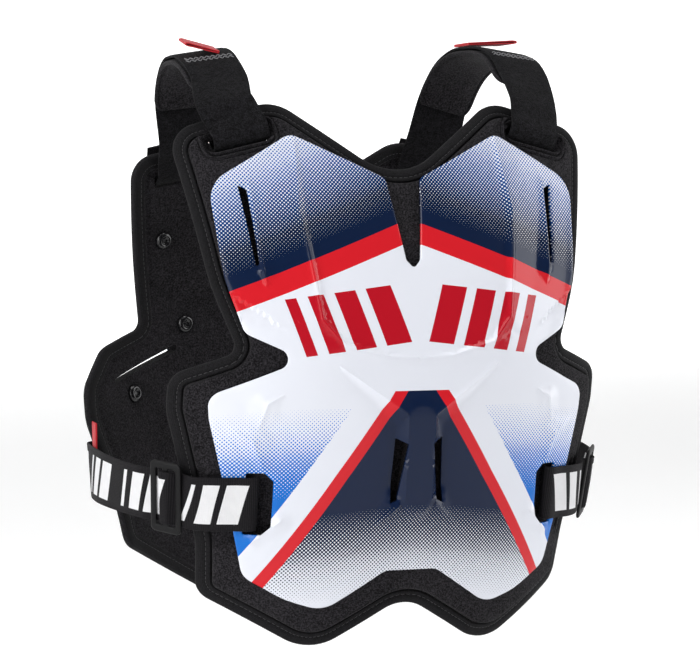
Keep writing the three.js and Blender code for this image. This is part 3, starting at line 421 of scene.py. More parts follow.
class Paint:
    """A material in the making, round one Principled shader."""

    def __init__(self, name, color, roughness, **sockets):
        self.mat = bpy.data.materials.new(name)
        self.mat.use_nodes = True
        self.tree = self.mat.node_tree
        self.shader = self.tree.nodes["Principled BSDF"]
        self.set("Base Color", (*color, 1))
        self.set("Roughness", roughness)
        for key, value in sockets.items():
            self.set(key.replace("_", " ").title().replace("Ior", "IOR"), value)
        self.bumps = None

    def set(self, socket, value):
        if isinstance(value, Val):
            self.tree.links.new(value.socket, self.shader.inputs[socket])
        else:
            self.shader.inputs[socket].default_value = value

    def flat(self):
        """The piece's own flat coordinates in millimetres."""
        node = self.tree.nodes.new("ShaderNodeUVMap")
        node.uv_map = "flat"
        split = self.tree.nodes.new("ShaderNodeSeparateXYZ")
        self.tree.links.new(node.outputs[0], split.inputs[0])
        return Val(self.tree, split.outputs[0]) * 1000.0, Val(self.tree, split.outputs[1]) * 1000.0

    def noise(self, scale, detail, roughness=.5):
        """Noise over the piece's own coordinates; scale is in grains per metre."""
        node = self.tree.nodes.new("ShaderNodeTexNoise")
        coord = self.tree.nodes.new("ShaderNodeTexCoord")
        self.tree.links.new(coord.outputs["Object"], node.inputs["Vector"])
        for key, value in (("Scale", scale), ("Detail", detail), ("Roughness", roughness)):
            node.inputs[key].default_value = value
        return Val(self.tree, node.outputs[0])

    def mix(self, factor, a, b):
        """Colour a where factor is 0 and b where it is 1."""
        node = self.tree.nodes.new("ShaderNodeMix")
        node.data_type = "RGBA"
        for key, value in ((0, factor), (6, a), (7, b)):
            if isinstance(value, Val):
                self.tree.links.new(value.socket, node.inputs[key])
            elif key == 0:
                node.inputs[key].default_value = value
            else:
                node.inputs[key].default_value = (*value, 1)
        return Val(self.tree, node.outputs[2])

    def bump(self, height, distance, strength=1.0):
        node = self.tree.nodes.new("ShaderNodeBump")
        node.inputs["Strength"].default_value = strength
        node.inputs["Distance"].default_value = distance / 1000
        self.tree.links.new(height.socket, node.inputs["Height"])
        if self.bumps:
            self.tree.links.new(self.bumps, node.inputs["Normal"])
        self.bumps = node.outputs[0]
        self.tree.links.new(self.bumps, self.shader.inputs["Normal"])


def weave(along, across, pitch):
    """Crossed threads, from 0 in the gaps to 1 on top."""
    warp, weft = ((v * 2 * math.pi / pitch).sin() * .5 + .5 for v in (along, across))
    return warp * weft


WHITE, NAVY = (.72, .738, .80), (.0035, .011, .040)
RED, BLUE = (.60, .012, .020), (.004, .14, .54)
DEEP_RED, DEEP_BLUE = (.44, .006, .016), (.006, .085, .34)


# The waist straps' printed blocks, in millimetres along the strap, how often they repeat and half their height.
BLOCKS, BLOCK_REPEAT, BLOCK_HALF = ((3, 19), (24, 36), (43, 47)), 64.0, 14.5
# The bars on the chest: from and to in millimetres, measured out from the middle along their slant.
BARS = ((14, 34), (42, 58), (66, 78), (86, 94))
DOT_PITCH = 1.95


def foam():
    p = Paint("foam_cloth", (.016, .015, .017), .95, sheen_weight=.03, sheen_roughness=.5,
              specular_ior_level=.15)
    grain = (p.noise(820, 2, .65) * 3.4 - 1.35).clamp()
    cloud = p.noise(26, 4)
    tone = (grain * .85 + cloud * .5 - .2).clamp()
    p.set("Base Color", p.mix(tone, (.0010, .0009, .0013), (.037, .034, .039)))
    p.bump(grain, .35, .8)
    p.bump(p.noise(230, 3), .4, .5)
    return p.mat


def edge_cloth():
    p = Paint("edge_cloth", (.012, .012, .013), .85, sheen_weight=.04, sheen_roughness=.4,
              specular_ior_level=.2)
    rib = weave(*p.flat(), 1.1)
    fleck = (p.noise(900, 3, .6) * 2.6 - .9).clamp()
    p.set("Base Color", p.mix((rib * .45 + fleck * .6).clamp(), (.0008, .0008, .001), (.016, .015, .0175)))
    p.bump(rib, .18, .6)
    p.bump(p.noise(1200, 2), .2, .5)
    return p.mat


def pile():
    p = Paint("loop_pile", (.008, .008, .009), 1.0, sheen_weight=.03, sheen_roughness=.6,
              specular_ior_level=.1)
    fuzz = (p.noise(950, 3, .7) * 3.6 - 1.5).clamp()
    tuft = (p.noise(300, 4, .75) * 2.4 - .8).clamp()
    p.set("Base Color", p.mix((fuzz * .6 + tuft * .5 - .12).clamp(), (.0003, .0003, .0005), (.023, .022, .026)))
    p.bump(tuft, .7, .8)
    p.bump(fuzz, .35, .8)
    return p.mat


def elastic():
    """Woven elastic with white slanted blocks printed on it, in groups of three."""
    p = Paint("elastic_band", (.01, .009, .011), .75, sheen_weight=.03, specular_ior_level=.15)
    along, across = p.flat()
    threads = ((along * 2 * math.pi / 1.3).sin() * .5 + .5) * ((across * 2 * math.pi / 1.1).sin() * .35 + .65)
    slanted = along + across * .32
    cell = slanted.mod(BLOCK_REPEAT)
    block = None
    for start, end in BLOCKS:
        inside_block = (cell > start) * (cell < end)
        block = inside_block if block is None else block.max(inside_block)
    block = block * (across.abs() < BLOCK_HALF)
    worn = (p.noise(160, 4) * 1.4 - .3).clamp()
    cloth = p.mix(threads, (.0016, .0014, .002), (.015, .013, .016))
    print_ = p.mix(worn * .35, (.72, .72, .73), (.5, .5, .52))
    p.set("Base Color", p.mix(block, cloth, print_))
    p.bump(threads, .3, .7)
    p.bump(p.noise(1400, 2), .12, .4)
    return p.mat


def moulded():
    p = Paint("moulded_black", (.0015, .0015, .002), .5, specular_ior_level=.22)
    p.set("Roughness", p.noise(900, 3) * .2 + .42)
    p.bump(p.noise(1900, 2), .06, .35)
    return p.mat


def rivet_black():
    p = Paint("rivet_black", (.007, .007, .008), .2)
    p.set("Roughness", p.noise(500, 3) * .16 + .12)
    p.bump(p.noise(700, 2), .05, .3)
    return p.mat


def red_ribbon():
    p = Paint("red_ribbon", (.62, .010, .018), .55, specular_ior_level=.2, sheen_weight=.05)
    threads = weave(*p.flat(), .8)
    p.set("Base Color", p.mix(threads * .7 + p.noise(300, 3) * .3, (.36, .008, .014), (.66, .03, .04)))
    p.bump(threads, .2, .6)
    return p.mat


def thread(name, color, sheen):
    p = Paint(name, color, .6, sheen_weight=sheen)
    p.bump(p.noise(3000, 2), .1, .5)
    return p.mat


def halftone(x, z, fade):
    """1 on the dots: none where fade is 0, all over where it is 1."""
    turn = 2 * math.pi / DOT_PITCH / math.sqrt(2)
    wave = ((x + z) * turn).cos() + ((x - z) * turn).cos()
    return (wave * -.25 + .5) < fade


def gloss(name, draw):
    """Glossy printed plastic, with a faint ripple and fine wear in its finish."""
    p = Paint(name, WHITE, .2, specular_ior_level=.14, coat_weight=.2, coat_roughness=.05)
    x, z = p.flat()
    p.set("Base Color", draw(p, x, z))
    p.set("Roughness", (p.noise(35, 4) * .16 + p.noise(600, 2) * .05 + .1))
    p.bump(p.noise(9, 1), .35, .25)
    p.bump(p.noise(1100, 2), .02, .3)
    return p.mat


def front_print(p, x, z):
    """A plain layout, the same on both sides: dark shoulders, a row of slanted bars and blue hips."""
    u = x.abs()
    shoulder = 92.0 - u * .38
    bars = None
    slant = u - (z - 26.0) * .34
    for start, end in BARS:
        bar = (slant > start) * (slant < end)
        bars = bar if bars is None else bars.max(bar)
    bars = bars * (z < 47.0 - u * .12) * (z > 5.0 - u * .12)
    colour = p.mix(bars, WHITE, DEEP_RED)
    colour = p.mix((z > shoulder - 16.0) * (z < shoulder), colour, RED)
    deep = p.mix(((z - shoulder - 26.0) / 50.0).clamp(), NAVY, DEEP_BLUE)
    top = p.mix(halftone(x, z, ((z - shoulder - 10.0) / 124.0).clamp()), deep, WHITE)
    colour = p.mix(z > shoulder, colour, top)
    down = z * -1 - 38.0
    inner = down * .66 + 16.0
    hips = p.mix(halftone(x, z, ((z + 98.0 + u * .1) / 66.0).clamp()), BLUE, WHITE)
    colour = p.mix((u > inner + 32.0) * (z < -42.0), colour, hips)
    colour = p.mix((u < inner + 10.0) * (z < -30.0) * (u > inner), colour, RED)
    low = p.mix(halftone(x, z, ((z * -1 - 112.0 - u * .1) / 66.0).clamp()), NAVY, WHITE)
    colour = p.mix((u < inner) * (z < -30.0), colour, low)
    return colour


def back_print(p, x, z):
    u = x.abs()
    low = (z + 40.0) * -1 - u * .4
    fade = p.mix(halftone(x, z, ((z + 10.0 + u * .25) / 120.0).clamp()), NAVY, WHITE)
    colour = p.mix(low > 0.0, fade, NAVY)
    for start, end, tint in ((8, 20, RED), (30, 36, WHITE), (46, 49, WHITE)):
        colour = p.mix((low > start) * (low < end), colour, tint)
    return colour


MATERIALS = {
    "foam": foam(), "binding": edge_cloth(), "front_plastic": gloss("front_print", front_print),
    "back_plastic": gloss("back_print", back_print), "loop_webbing": pile(), "elastic": elastic(),
    "black_plastic": moulded(), "red_tab": red_ribbon()}
SEAM_THREAD = thread("thread", (.17, .17, .18), .1)
EDGE_THREAD = thread("edge_thread", (.03, .029, .032), .05)
RIVET_BLACK = rivet_black()


def side_name(side):
    return "left" if side > 0 else "right"


def dress(obj, slot, *nodes, material=None):
    """The piece rides on the one body, stands for the nodes and takes the slot's finish."""
    obj.data.materials.clear()
    obj.data.materials.append(material or MATERIALS[slot])
    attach(obj, "root")
    if nodes:
        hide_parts(*nodes)


# ------ pads
# Strap slots: across, up and how much they fall outwards. Waist slots: across and up.
FRONT_SLOT, BACK_SLOT = (115.5, 145.5, .24), (103, 119, .2)
FRONT_WAIST, BACK_WAIST = (112.5, -111), (112.5, -97)
# Two rounded beads round each strap slot, above a ledge: how far out from the hole, and how high.
SLOT_LEDGE, LEDGE_ENDS = 1.5, 2.7
RIM_STEPS = (0, 1.4, 1.9, 2.6, 3.4, 3.9, 4.5, 5.0, 5.8, 6.6, 7.2, 7.9)
RIM_HEIGHTS = (-5.2, -4.8, .7, 1.6, .8, -1.7, -1.7, .7, 1.5, .6, -1.4, -.2)
# Vents: across, up, height, width at the top and bottom, and slant.
FRONT_VENTS = [(117, 88, 58, 6.0, 2.4, 6), (16, -88, 48, 8.5, 5, -4)]


def strap_slot(slot, side, grow=0.0):
    across, up, fall = slot
    half, top = 25 + grow * (LEDGE_ENDS if grow < 0 else 1), 13 + grow
    rows = [(-half, top), (half, top), (half, -grow), (-half, -grow)]
    return rounded([((side * (across + s + t * fall), up - s * fall + t), 4 + grow) for s, t in rows],
                   .25, 3)


def smooth(a, b, v):
    t = np.clip((v - a) / (b - a), 0, 1)
    return t * t * (3 - 2 * t)


def ripple(x, z, size):
    """A soft unevenness of foam, the same each run."""
    return size * (np.sin(x * .071 + z * .033 + 1.1) + np.sin(z * .089 - x * .041 + .4)
                   + np.sin(x * .19 + 2.0) * np.sin(z * .17)) / 2


def vent(across, up, height, top, bottom, slant, side):
    rows = [(slant / 2 - top / 2, height / 2 - top / 2), (slant / 2 + top / 2, height / 2),
            (-slant / 2 + bottom / 2, -height / 2), (-slant / 2 - bottom / 2, -height / 2 + bottom / 2)]
    return rounded([((side * (across + s), up + t), .6) for s, t in rows], .5, 3)


def build_pad(part, table, slot, waist, creases, slits, vents, back):
    loop = clean(rounded(corners(table)), .8)
    slots = [strap_slot(slot, s, -SLOT_LEDGE) for s in SIDES]
    holes = list(slots)
    if slits:
        for side in SIDES:
            rows = [(-33, 2.6), (33, 2.0), (33, -2.0), (-33, -2.6)]
            holes.append(rounded([((side * (130 + s), -23 - s * .38 + t), 1.4) for s, t in rows], .4, 4))
    loops = [clean(inset(loop, d), .7) for d in (3, 9.6, 10.0, 10.6, 11.0, 11.8, 12.8, 15, 19)]
    for side in SIDES:
        loops += [strap_slot(slot, side, g - SLOT_LEDGE) for g in RIM_STEPS[1:]]
    pockets = [vent(*v, s) for v in vents for s in SIDES]
    for pocket in pockets:
        loops += [inset(pocket, -2.4), inset(pocket, -3.0)]
    folds = [np.array(crease, float) * [side, 1] for crease in creases for side in SIDES]
    low, high, start = waist[1] - 32, waist[1] + 22, waist[0] - 11.5

    def channel(x, z):
        """1 in the recess for the waist strap, at the pad's side."""
        return (smooth(start, start + 1.5, np.abs(x)) * smooth(low, low + 1.5, z)
                * smooth(-high, -high + 1.5, -z))

    def top(flat):
        x, z = flat.T
        d = away(flat, loop)
        h = np.interp(d, [0, 3, 9.6, 10.0, 10.6, 11.0, 11.8, 12.8, 15],
                      [-7, -6, -6.1, -6.8, -6.7, -3.6, -1.5, -.4, 0])
        h = h + ripple(x, z, .28) * smooth(12, 22, d)
        cut = channel(x, z)
        h = np.where(cut > 0, h * (1 - cut) + np.minimum(h, -5.2) * cut, h)
        for pocket in pockets:
            h = np.where(inside(flat, inset(pocket, -2.6)), -6.0, h)
        for rim in slots:
            ds = away(flat, rim)
            h = np.where(ds < RIM_STEPS[-1], np.minimum(np.interp(ds, RIM_STEPS, RIM_HEIGHTS), h + 1.6), h)
        return h

    def bottom(flat):
        x, z = flat.T
        d = away(flat, loop)
        h = np.interp(d, [0, 3, 9.6, 11.2, 13.2, 15, 19], [-8, -10.4, -10.8, -9.3, -9.0, -10.0, -10.4])
        h = h + ripple(x + 40, z, .25) * smooth(12, 30, d)
        for fold in folds:
            h = h + 1.5 * np.exp(-(away(flat, fold, False) / 1.9) ** 2)
        return h

    lines = []
    for fold in folds:
        run = distances(fold)
        lines.append(sampled(fold, run, np.linspace(0, run[-1], int(run[-1] / 4) + 2)))
    pad = plate(part + "_pad_foam", loop, top, bottom, 4.5, holes, loops, lines, back)
    dress(pad, "foam", part + "_pad")
    profile = [(0, -7.4), (.25, -6.0), (.9, -4.9), (2.0, -4.35), (3.6, -4.2), (5.2, -4.35), (6.2, -4.75),
               (6.7, -5.2), (7.2, -4.75), (8.0, -4.4), (9.0, -4.5), (9.7, -5.0), (10.0, -5.8), (9.9, -6.6),
               (9.0, -8), (9.6, -10.4), (9.0, -10.9), (7.2, -11.0), (6.7, -10.7), (6.2, -11.0), (2.0, -10.9),
               (.9, -10.3), (.25, -9.0)]
    binding = sweep_loop(part + "_edge_binding", loop, profile, back)
    dress(binding, "binding", part + "_binding")
    stitch_loop(part, loop, back)


def stitch_loop(part, loop, back):
    """A row of stitches in the binding's groove, outside and inside."""
    run = distances(np.concatenate([loop, loop[:1]]))
    count = int(run[-1] / 3.6)
    inner = inset(loop, 6.7)
    inner = np.concatenate([inner, inner[:1]])
    starts, ends, outs = [], [], []
    for height, sign in ((-5.0, 1), (-10.85, -1)):
        for i in range(count):
            flat = sampled(inner, run, [(i + .12) * run[-1] / count, (i + .82) * run[-1] / count])
            a, b = chest(*flat.T, height)
            if np.linalg.norm(b - a) < .6:
                continue
            starts.append(a)
            ends.append(b)
            outs.append(normal(*flat[:1].T)[0] * sign)
    if back:
        starts, ends = list(turned(starts)), list(turned(ends))
        outs = list(np.array(outs) * [-1, -1, 1])
    stitches = rods(part + "_edge_stitches", starts, ends, .55, .45, outs)
    dress(stitches, "binding", material=EDGE_THREAD)


BACK_CREASES = [[(122, 42), (104, 30), (86, 20), (62, 12)], [(112, -4), (98, -7), (84, -10)],
                [(62, 12), (58, 60), (66, 108)], [(84, -10), (64, -60), (58, -130)]]
FRONT_CREASES = [[(128, 60), (100, 28), (84, 16), (60, 8)], [(60, 8), (56, 60), (62, 110)],
                 [(60, 8), (60, -60), (66, -140)]]
build_pad("front", FRONT_PAD, FRONT_SLOT, FRONT_WAIST, FRONT_CREASES, False, FRONT_VENTS, False)
build_pad("back", BACK_PAD, BACK_SLOT, BACK_WAIST, BACK_CREASES, True, [], True)


# ------ shells
# Each ridge: from and to as places in millimetres, its height at each end, half its flat top, the slopes of
# its flanks towards the middle and away from it, and how wide the steep inner flank is.
FRONT_RIDGES = [
    ((79, 149), (83, 98), .8, 4.2, .5, .6, .12, 7), ((83, 98), (72, 21), 4.2, 6.8, .5, .72, .13, 7),
    ((72, 21), (57, 3), 6.8, 7.8, .5, .78, .2, 7), ((57, 3), (24, -6), 7.8, 7.4, .5, .78, .1, 6),
    ((24, -6), (0, -7), 7.4, 7.0, .5, .78, .08, 5.5), ((60, -12), (12, -46), 6.6, 8.8, .4, .05, .5, 60),
    ((0, -48), (0, -108), 8.6, 5.6, 10.5, .7, .7, 60), ((14, -113), (33, -130), 4.4, .4, .4, .3, .3, 60),
    ((115, 120), (110, 56), .6, 4.8, .35, .22, .9, 60), ((110, 56), (107, 34), 4.8, .4, .35, .25, .6, 60),
    ((101, 33), (88, 20), .4, 4.4, .35, .16, .22, 60), ((88, 20), (76, -22), 4.4, .6, .35, .16, .2, 60),
    ((86, -24), (108, -38), .8, 3.6, .4, .2, .26, 60), ((108, -38), (114, -56), 3.6, .8, .4, .2, .3, 60),
    ((114, -138), (97, -123), 1.8, 2.2, .4, .3, .3, 60), ((135, -57), (117, -65), .4, 2.6, .4, .2, .26, 60),
    ((117, -65), (110, -86), 2.6, .6, .4, .2, .3, 60)]
BACK_RIDGES = [
    ((0, 66), (0, -124), 1.5, 5, 6, .16, .16, 60), ((69, 92), (82, 5), 1, 4.8, .5, .6, .16, 7),
    ((82, 5), (57, -151), 4.8, 1, .5, .6, .14, 7)]
# Each crest's rounding, its fine lip (height, half width, ridge height from which it is full), the slope
# beyond a steep flank, and the flank width that means one slope all the way.
ROUND = .5
LIP, LIP_HALF, LIP_FULL = .55, 1.1, 3
FLOOR_SLOPE = .05
WHOLE_FLANK = 60
SHELL_TOP, SHELL_BOTTOM = 2.55, .35


def relief(flat, ridges):
    """The height that the ridges give at each place."""
    p = np.stack([np.abs(flat[:, 0]), flat[:, 1]], 1)
    best = np.zeros(len(p))
    for a, b, h0, h1, half, inner, outer, flank in ridges:
        a, d = np.array(a, float), np.array(b, float) - np.array(a, float)
        reach = p - a
        t = np.clip(reach @ d / (d @ d), 0, 1)
        off = np.maximum(np.linalg.norm(reach - t[:, None] * d, axis=1) - half, 0)
        cross = d[0] * reach[:, 1] - d[1] * reach[:, 0]
        fall = np.minimum(off, flank) * inner + np.maximum(off - flank, 0) * FLOOR_SLOPE
        crest = h0 + (h1 - h0) * t
        lip = LIP * np.clip(1 - off / LIP_HALF, 0, 1) * np.clip(np.minimum(crest, LIP_FULL) / LIP_FULL, 0, 1)
        best = np.maximum(best, crest + lip - np.where(cross < 0, fall, off * outer))
    return best


def ridge_lines(ridges, loop, holes):
    """The crests and the feet of steep flanks, as edges for the mesh to follow, kept clear of the plate's
    rim and holes."""
    lines = []
    for a, b, _, _, half, _, _, flank in ridges:
        a, b = np.array(a, float), np.array(b, float)
        d = (b - a) / np.linalg.norm(b - a)
        aside = np.array([d[1], -d[0]])
        shifts = [-half - ROUND, -half, half, half + ROUND]
        if flank < WHOLE_FLANK:
            shifts += [half + flank - ROUND, half + flank + ROUND]
        for shift in shifts:
            n = max(2, int(np.linalg.norm(b - a) / 2.5))
            ray = a + aside * shift + (b - a) * np.linspace(0, 1, n + 1)[:, None]
            for side in SIDES:
                line = ray * [side, 1]
                fine = inside(line, loop) & (away(line, loop) > 2.6) & (line[:, 0] * side > .3)
                for hole in holes:
                    fine &= ~inside(line, hole) & (away(line, hole) > 1.8)
                run = []
                for point, good in zip(line, fine):
                    if good:
                        run.append(point)
                        continue
                    if len(run) > 1:
                        lines.append(np.array(run))
                    run = []
                if len(run) > 1:
                    lines.append(np.array(run))
    return lines


def waist_slot(waist, side):
    across, up = waist
    rows = [(8.5, 22.5), (-3.5, 22.5), (-9.5, 16.5), (-9.5, -16.5), (-3.5, -22.5), (8.5, -22.5)]
    return rounded([((side * (across + s), up + t), 1.5) for s, t in rows], .4, 3)


def build_shell(part, table, ridges, waist, vents, back):
    loop = clean(rounded(corners(table), .12, 3), .5)
    holes = [waist_slot(waist, s) for s in SIDES]
    holes += [vent(*v, s) for v in vents for s in SIDES]
    loops = [clean(inset(loop, d), .5) for d in (.7, 1.5)]
    lines = ridge_lines(ridges, loop, holes)

    def lift(flat):
        """Rounds the plate's rim and the holes' edges."""
        d = np.minimum(away(flat, loop), 3.0)
        for hole in holes:
            d = np.minimum(d, away(flat, hole) + .3)
        return np.interp(d, [0, .7, 1.5, 3], [-.9, -.2, 0, 0])

    def top(flat):
        return SHELL_TOP + relief(flat, ridges) + lift(flat)

    def bottom(flat):
        return SHELL_BOTTOM + relief(flat, ridges)

    shell = plate(part + "_shell_plastic", loop, top, bottom, 2.6, holes, loops, lines, back, 24)
    dress(shell, part + "_plastic", part + "_shell")


build_shell("front", FRONT_SHELL, FRONT_RIDGES, FRONT_WAIST, FRONT_VENTS, False)
build_shell("back", BACK_SHELL, BACK_RIDGES, BACK_WAIST, [], True)


# ------ rivets
FRONT_RIVETS = {"shoulder": (98, 70), "waist": (80, -2.2), "hip": (125.3, -52.9)}
BACK_RIVETS = {"shoulder": (113.1, 75.4), "waist": (89.5, 8.3), "hip": (142.5, -45.3)}
RIVET = [(0, 1.6), (1.6, 1.6), (1.9, 2.2), (2.6, 2.5), (3.1, 3.1), (4.2, 3.5), (5.6, 3.1), (6.7, 2.1),
         (7.2, .8), (7.2, -.4), (3, -.5), (0, -.5)]
RIVET_SEAT = -10.6
for part, places, is_back in (("front", FRONT_RIVETS, False), ("back", BACK_RIVETS, True)):
    for label, (x, z) in places.items():
        for side in SIDES:
            name = side_name(side)
            at = chest([side * x], [z], [RIVET_SEAT])[0]
            axis = -normal(np.array([float(side * x)]), np.array([float(z)]))[0]
            if is_back:
                at, axis = turned(at), axis * [-1, -1, 1]
            rivet = lathe(f"{part}_rivet_head_{label}_{name}", RIVET, at, axis)
            dress(rivet, "black_plastic", f"{part}_rivet_{label}_{name}", material=RIVET_BLACK)


# ------ shoulder straps
def slot_frame(slot, back):
    """Gives places up the pad from its strap slot, with the slot's direction."""
    across, up, fall = slot
    lift = up + 6.5

    def at(x, z, h):
        p = chest([x], [z], [h])[0]
        return p * [1, -1, 1] + [0, DEPTH, 0] if back else p

    base = at(across, lift, 0)
    out = at(across, lift, 1) - base
    wide = at(across + 1, lift - fall, 0) - base
    wide /= np.linalg.norm(wide)
    rise = np.cross(wide, out)
    rise *= np.sign(rise[2]) / np.linalg.norm(rise)
    return lambda along, offset: (base + rise * along + out * offset, wide)


def shoulder_route(drop, fore, inward):
    """The strap's way: up behind the front bridge, out through the slot, over the shoulder, down inside
    the back pad and out through its slot. drop lowers the crest, fore moves the front leg outwards, and
    inward moves the arch towards the neck."""
    clear, behind, middle = 3.2, -13.6, -5.0
    front, back = slot_frame(FRONT_SLOT, False), slot_frame(BACK_SLOT, True)
    level = np.array([math.cos(.15), 0, -math.sin(.15)])

    def aside(station, shift):
        return station[0] + [shift, 0, 0], station[1]

    def arch(across, back_by, below):
        return np.array([121.0 - inward + across, 144.0 + back_by, 217.0 - below - drop]), level

    through = [(4, behind), (-2, (behind + middle) / 2), (-3.5, middle), (-2, (clear + middle) / 2), (4, clear)]
    return ([front(26, behind - 1.5), front(16, behind - .6)] + [front(*v) for v in through]
            + [aside(front(16, clear), fore * .5 + 1), aside(front(27, clear), fore * 1.2 + 1.6),
               arch(1 + fore * .9, -60, 19), arch(1.5 + fore, -42, 6.5), arch(1 + fore / 2, -20, 1),
               arch(0, 0, 0), arch(-3, 24, 2), arch(-6.5, 48, 13), arch(-10.5, 65, 34),
               back(34, behind - 2.5), back(16, behind - .6)] + [back(*v) for v in through]
            + [back(14, clear), back(24, clear - 1)])


SLEEVE_DROP = 1.2 + 3.2
SEAM_STITCHES, SEAM_HALF = 17, 18


def strap_section(width, thick, lip):
    """A flat strap's section: pile in the middle and a thinner woven edge."""
    w, t = width / 2, thick / 2
    top = [(-w, -.1), (-w + .3, t * .55), (-w + lip * .5, t * .6), (-w + lip, t * .7), (-w + lip + .6, t)]
    top += [(s * (w - lip - .6), t * 1.06) for s in (-.6, -.2, .2, .6)]
    top += [(w - lip - .6, t), (w - lip, t * .7), (w - lip * .5, t * .6), (w - .3, t * .55), (w, -.1)]
    return top + [(w - .4, -t * .7), (w * .4, -t), (-w * .4, -t), (-w + .4, -t * .7)]


def ribbon_section(half, bevel, thick):
    return [(-half, 0), (bevel - half, thick), (half - bevel, thick), (half, 0), (half - bevel, -thick),
            (bevel - half, -thick)]


def build_shoulder(side, drop, fore, inward, tab_at, tab_roll, tab_start, tab_long):
    """A shoulder strap with its sleeve, seam and tab. tab_at is how far back the tab lies, tab_roll its tilt,
    tab_start how far from the strap's middle it starts, and tab_long its length."""
    name = side_name(side)
    line, along, across, out, run = ribbon_frames(shoulder_route(drop, fore, inward), 2.0)
    out = -out
    mirror = side < 0
    strap = band(f"shoulder_webbing_{name}", line, across, out, run, strap_section(42, 2.4, 2.2), mirror)
    dress(strap, "loop_webbing", f"shoulder_strap_{name}")

    # The cushion is a sleeve of foam under the crest, with a piped edge and rounded ends.
    over = (line[:, 2] > 170) & (line[:, 1] > 76)
    keep = np.where(over & ((line[:, 1] < 144) | (line[:, 2] > 174)))[0]
    keep = keep[(line[keep, 2] > 190) | (line[keep, 1] > 144)]
    a, b = keep[0], keep[-1]
    rows = slice(a, b + 1)
    ends = np.minimum(run[rows] - run[a], run[b] - run[rows])
    wide = (np.sqrt(np.clip(1 - (1 - np.clip(ends / 14, 0, 1)) ** 2, .12, 1)) * .3 + .7) * .93
    thick = np.clip(.35 + ends / 5, 0, 1)
    upper = [(25, 0), (24.4, 1.3), (23, 1.9), (21.5, 1.1), (20, 2.2), (10, 2.9)]
    lower = [(24.4, -1.3), (23, -1.9), (21.5, -1.2), (19.5, -2.6), (10, -3.3)]
    section = ([(-x, y) for x, y in upper] + [(0, 3.0)] + upper[::-1] + lower + [(0, -3.5)]
               + [(-x, y) for x, y in lower[::-1]])
    below = line[rows] - out[rows] * SLEEVE_DROP
    cushion = band(f"shoulder_sleeve_{name}", below, across[rows], out[rows], run[rows], section, mirror,
                   60, np.stack([wide, thick], 1))
    dress(cushion, "foam", f"shoulder_cushion_{name}")

    # A zigzag seam across the strap, in front of the crest.
    i = int(np.argmin(np.abs(line[:, 1] - 100) + (line[:, 2] < 190) * 99))
    starts, stops, outs = [], [], []
    for row in (0.0, 3.4):
        for k in range(SEAM_STITCHES):
            s0, s1 = (-SEAM_HALF + 2 * SEAM_HALF * m / SEAM_STITCHES for m in (k, k + 1))
            t0, t1 = (0, 3) if k % 2 == 0 else (3, 0)
            base = line[i] + out[i] * 1.55 + along[i] * row
            starts.append(base + across[i] * s0 + along[i] * t0)
            stops.append(base + across[i] * s1 + along[i] * t1)
            outs.append(out[i])
    flip = np.array([-1 if mirror else 1, 1, 1])
    seam = rods(f"shoulder_seam_{name}", [p * flip for p in starts], [p * flip for p in stops], .8, .7,
                [o * flip for o in outs])
    dress(seam, "loop_webbing", material=SEAM_THREAD)

    # The pull tab is a folded ribbon that stands off the strap towards its outer edge.
    i = int(np.argmin(np.abs(line[:, 1] - tab_at) + (line[:, 2] < 190) * 99))
    rise = np.array([math.cos(tab_roll), 0, math.sin(tab_roll)])
    lift = np.cross(along[i], rise)
    lift *= np.sign(lift[2]) / np.linalg.norm(lift)
    foot = line[i] - across[i] * tab_start + out[i] * 1.9
    path = [foot + rise * tab_long * s + lift * t for s, t in (
        (0, 0), (.35, 0), (.74, .2), (.96, .3), (1, 1.1), (.96, 1.9), (.69, 1.8), (.3, 1.4), (0, 1.1))]
    tab_line, _, run_tab = spline(path, 1.0)
    heading = unit(np.gradient(tab_line, axis=0))
    width = np.repeat(along[i][None], len(tab_line), 0)
    up = np.cross(width, heading)
    tab = band(f"shoulder_pull_{name}", tab_line, width, up, run_tab, ribbon_section(11, .3, .5), mirror)
    dress(tab, "red_tab", f"shoulder_tab_{name}")


build_shoulder(1, -1.5, -1.6, -2, 156, .03, 20, 40.6)
build_shoulder(-1, 2.0, 3, 3.5, 116, .2, 9, 27)


# ------ waist straps
BUCKLE_AT, BUCKLE_HOLD = (168, 68, -108.2), 34
BAR_STEP, BAR_HEIGHT = 11.25, 2.55
WAIST_HALF, WAIST_THICK = 20, 1.8


def waist_route():
    """The strap's way: from behind the front shell out through its slot, round the waist and in again."""
    over, tail = 4.05, -2.5

    def end(slot, back):
        across, up = slot

        def place(s, offset):
            p = chest([across + s] * 2, [up, up + 1.0], [offset, 0.0])
            flat = chest([across + s] * 2, [up, up + 1.0], 0)
            wide = (flat[1] - flat[0]) / np.linalg.norm(flat[1] - flat[0])
            if back:
                return p[0] * [1, -1, 1] + [0, DEPTH, 0], wide * [1, -1, 1]
            return p[0], wide
        return place

    front, back = end(FRONT_WAIST, False), end(BACK_WAIST, True)
    inner = [(29, tail), (12, tail), (4, tail), (.6, (over + tail) / 2), (4, over), (14, over)]
    sweep = [(168, 68), (181, 93), (188.5, 124), (191, 156)]
    middle = [(np.array([x, y, -111 + 14 * (i + 1) / 5]), np.array([tilt, 0, 1.0]))
              for i, ((x, y), tilt) in enumerate(zip(sweep, (.22, .18, .1, 0)))]
    return ([front(*v) for v in inner] + [front(25, over + 1), front(38, over)] + middle
            + [back(66, over), back(47, over), back(30, over)] + [back(*v) for v in reversed(inner)])


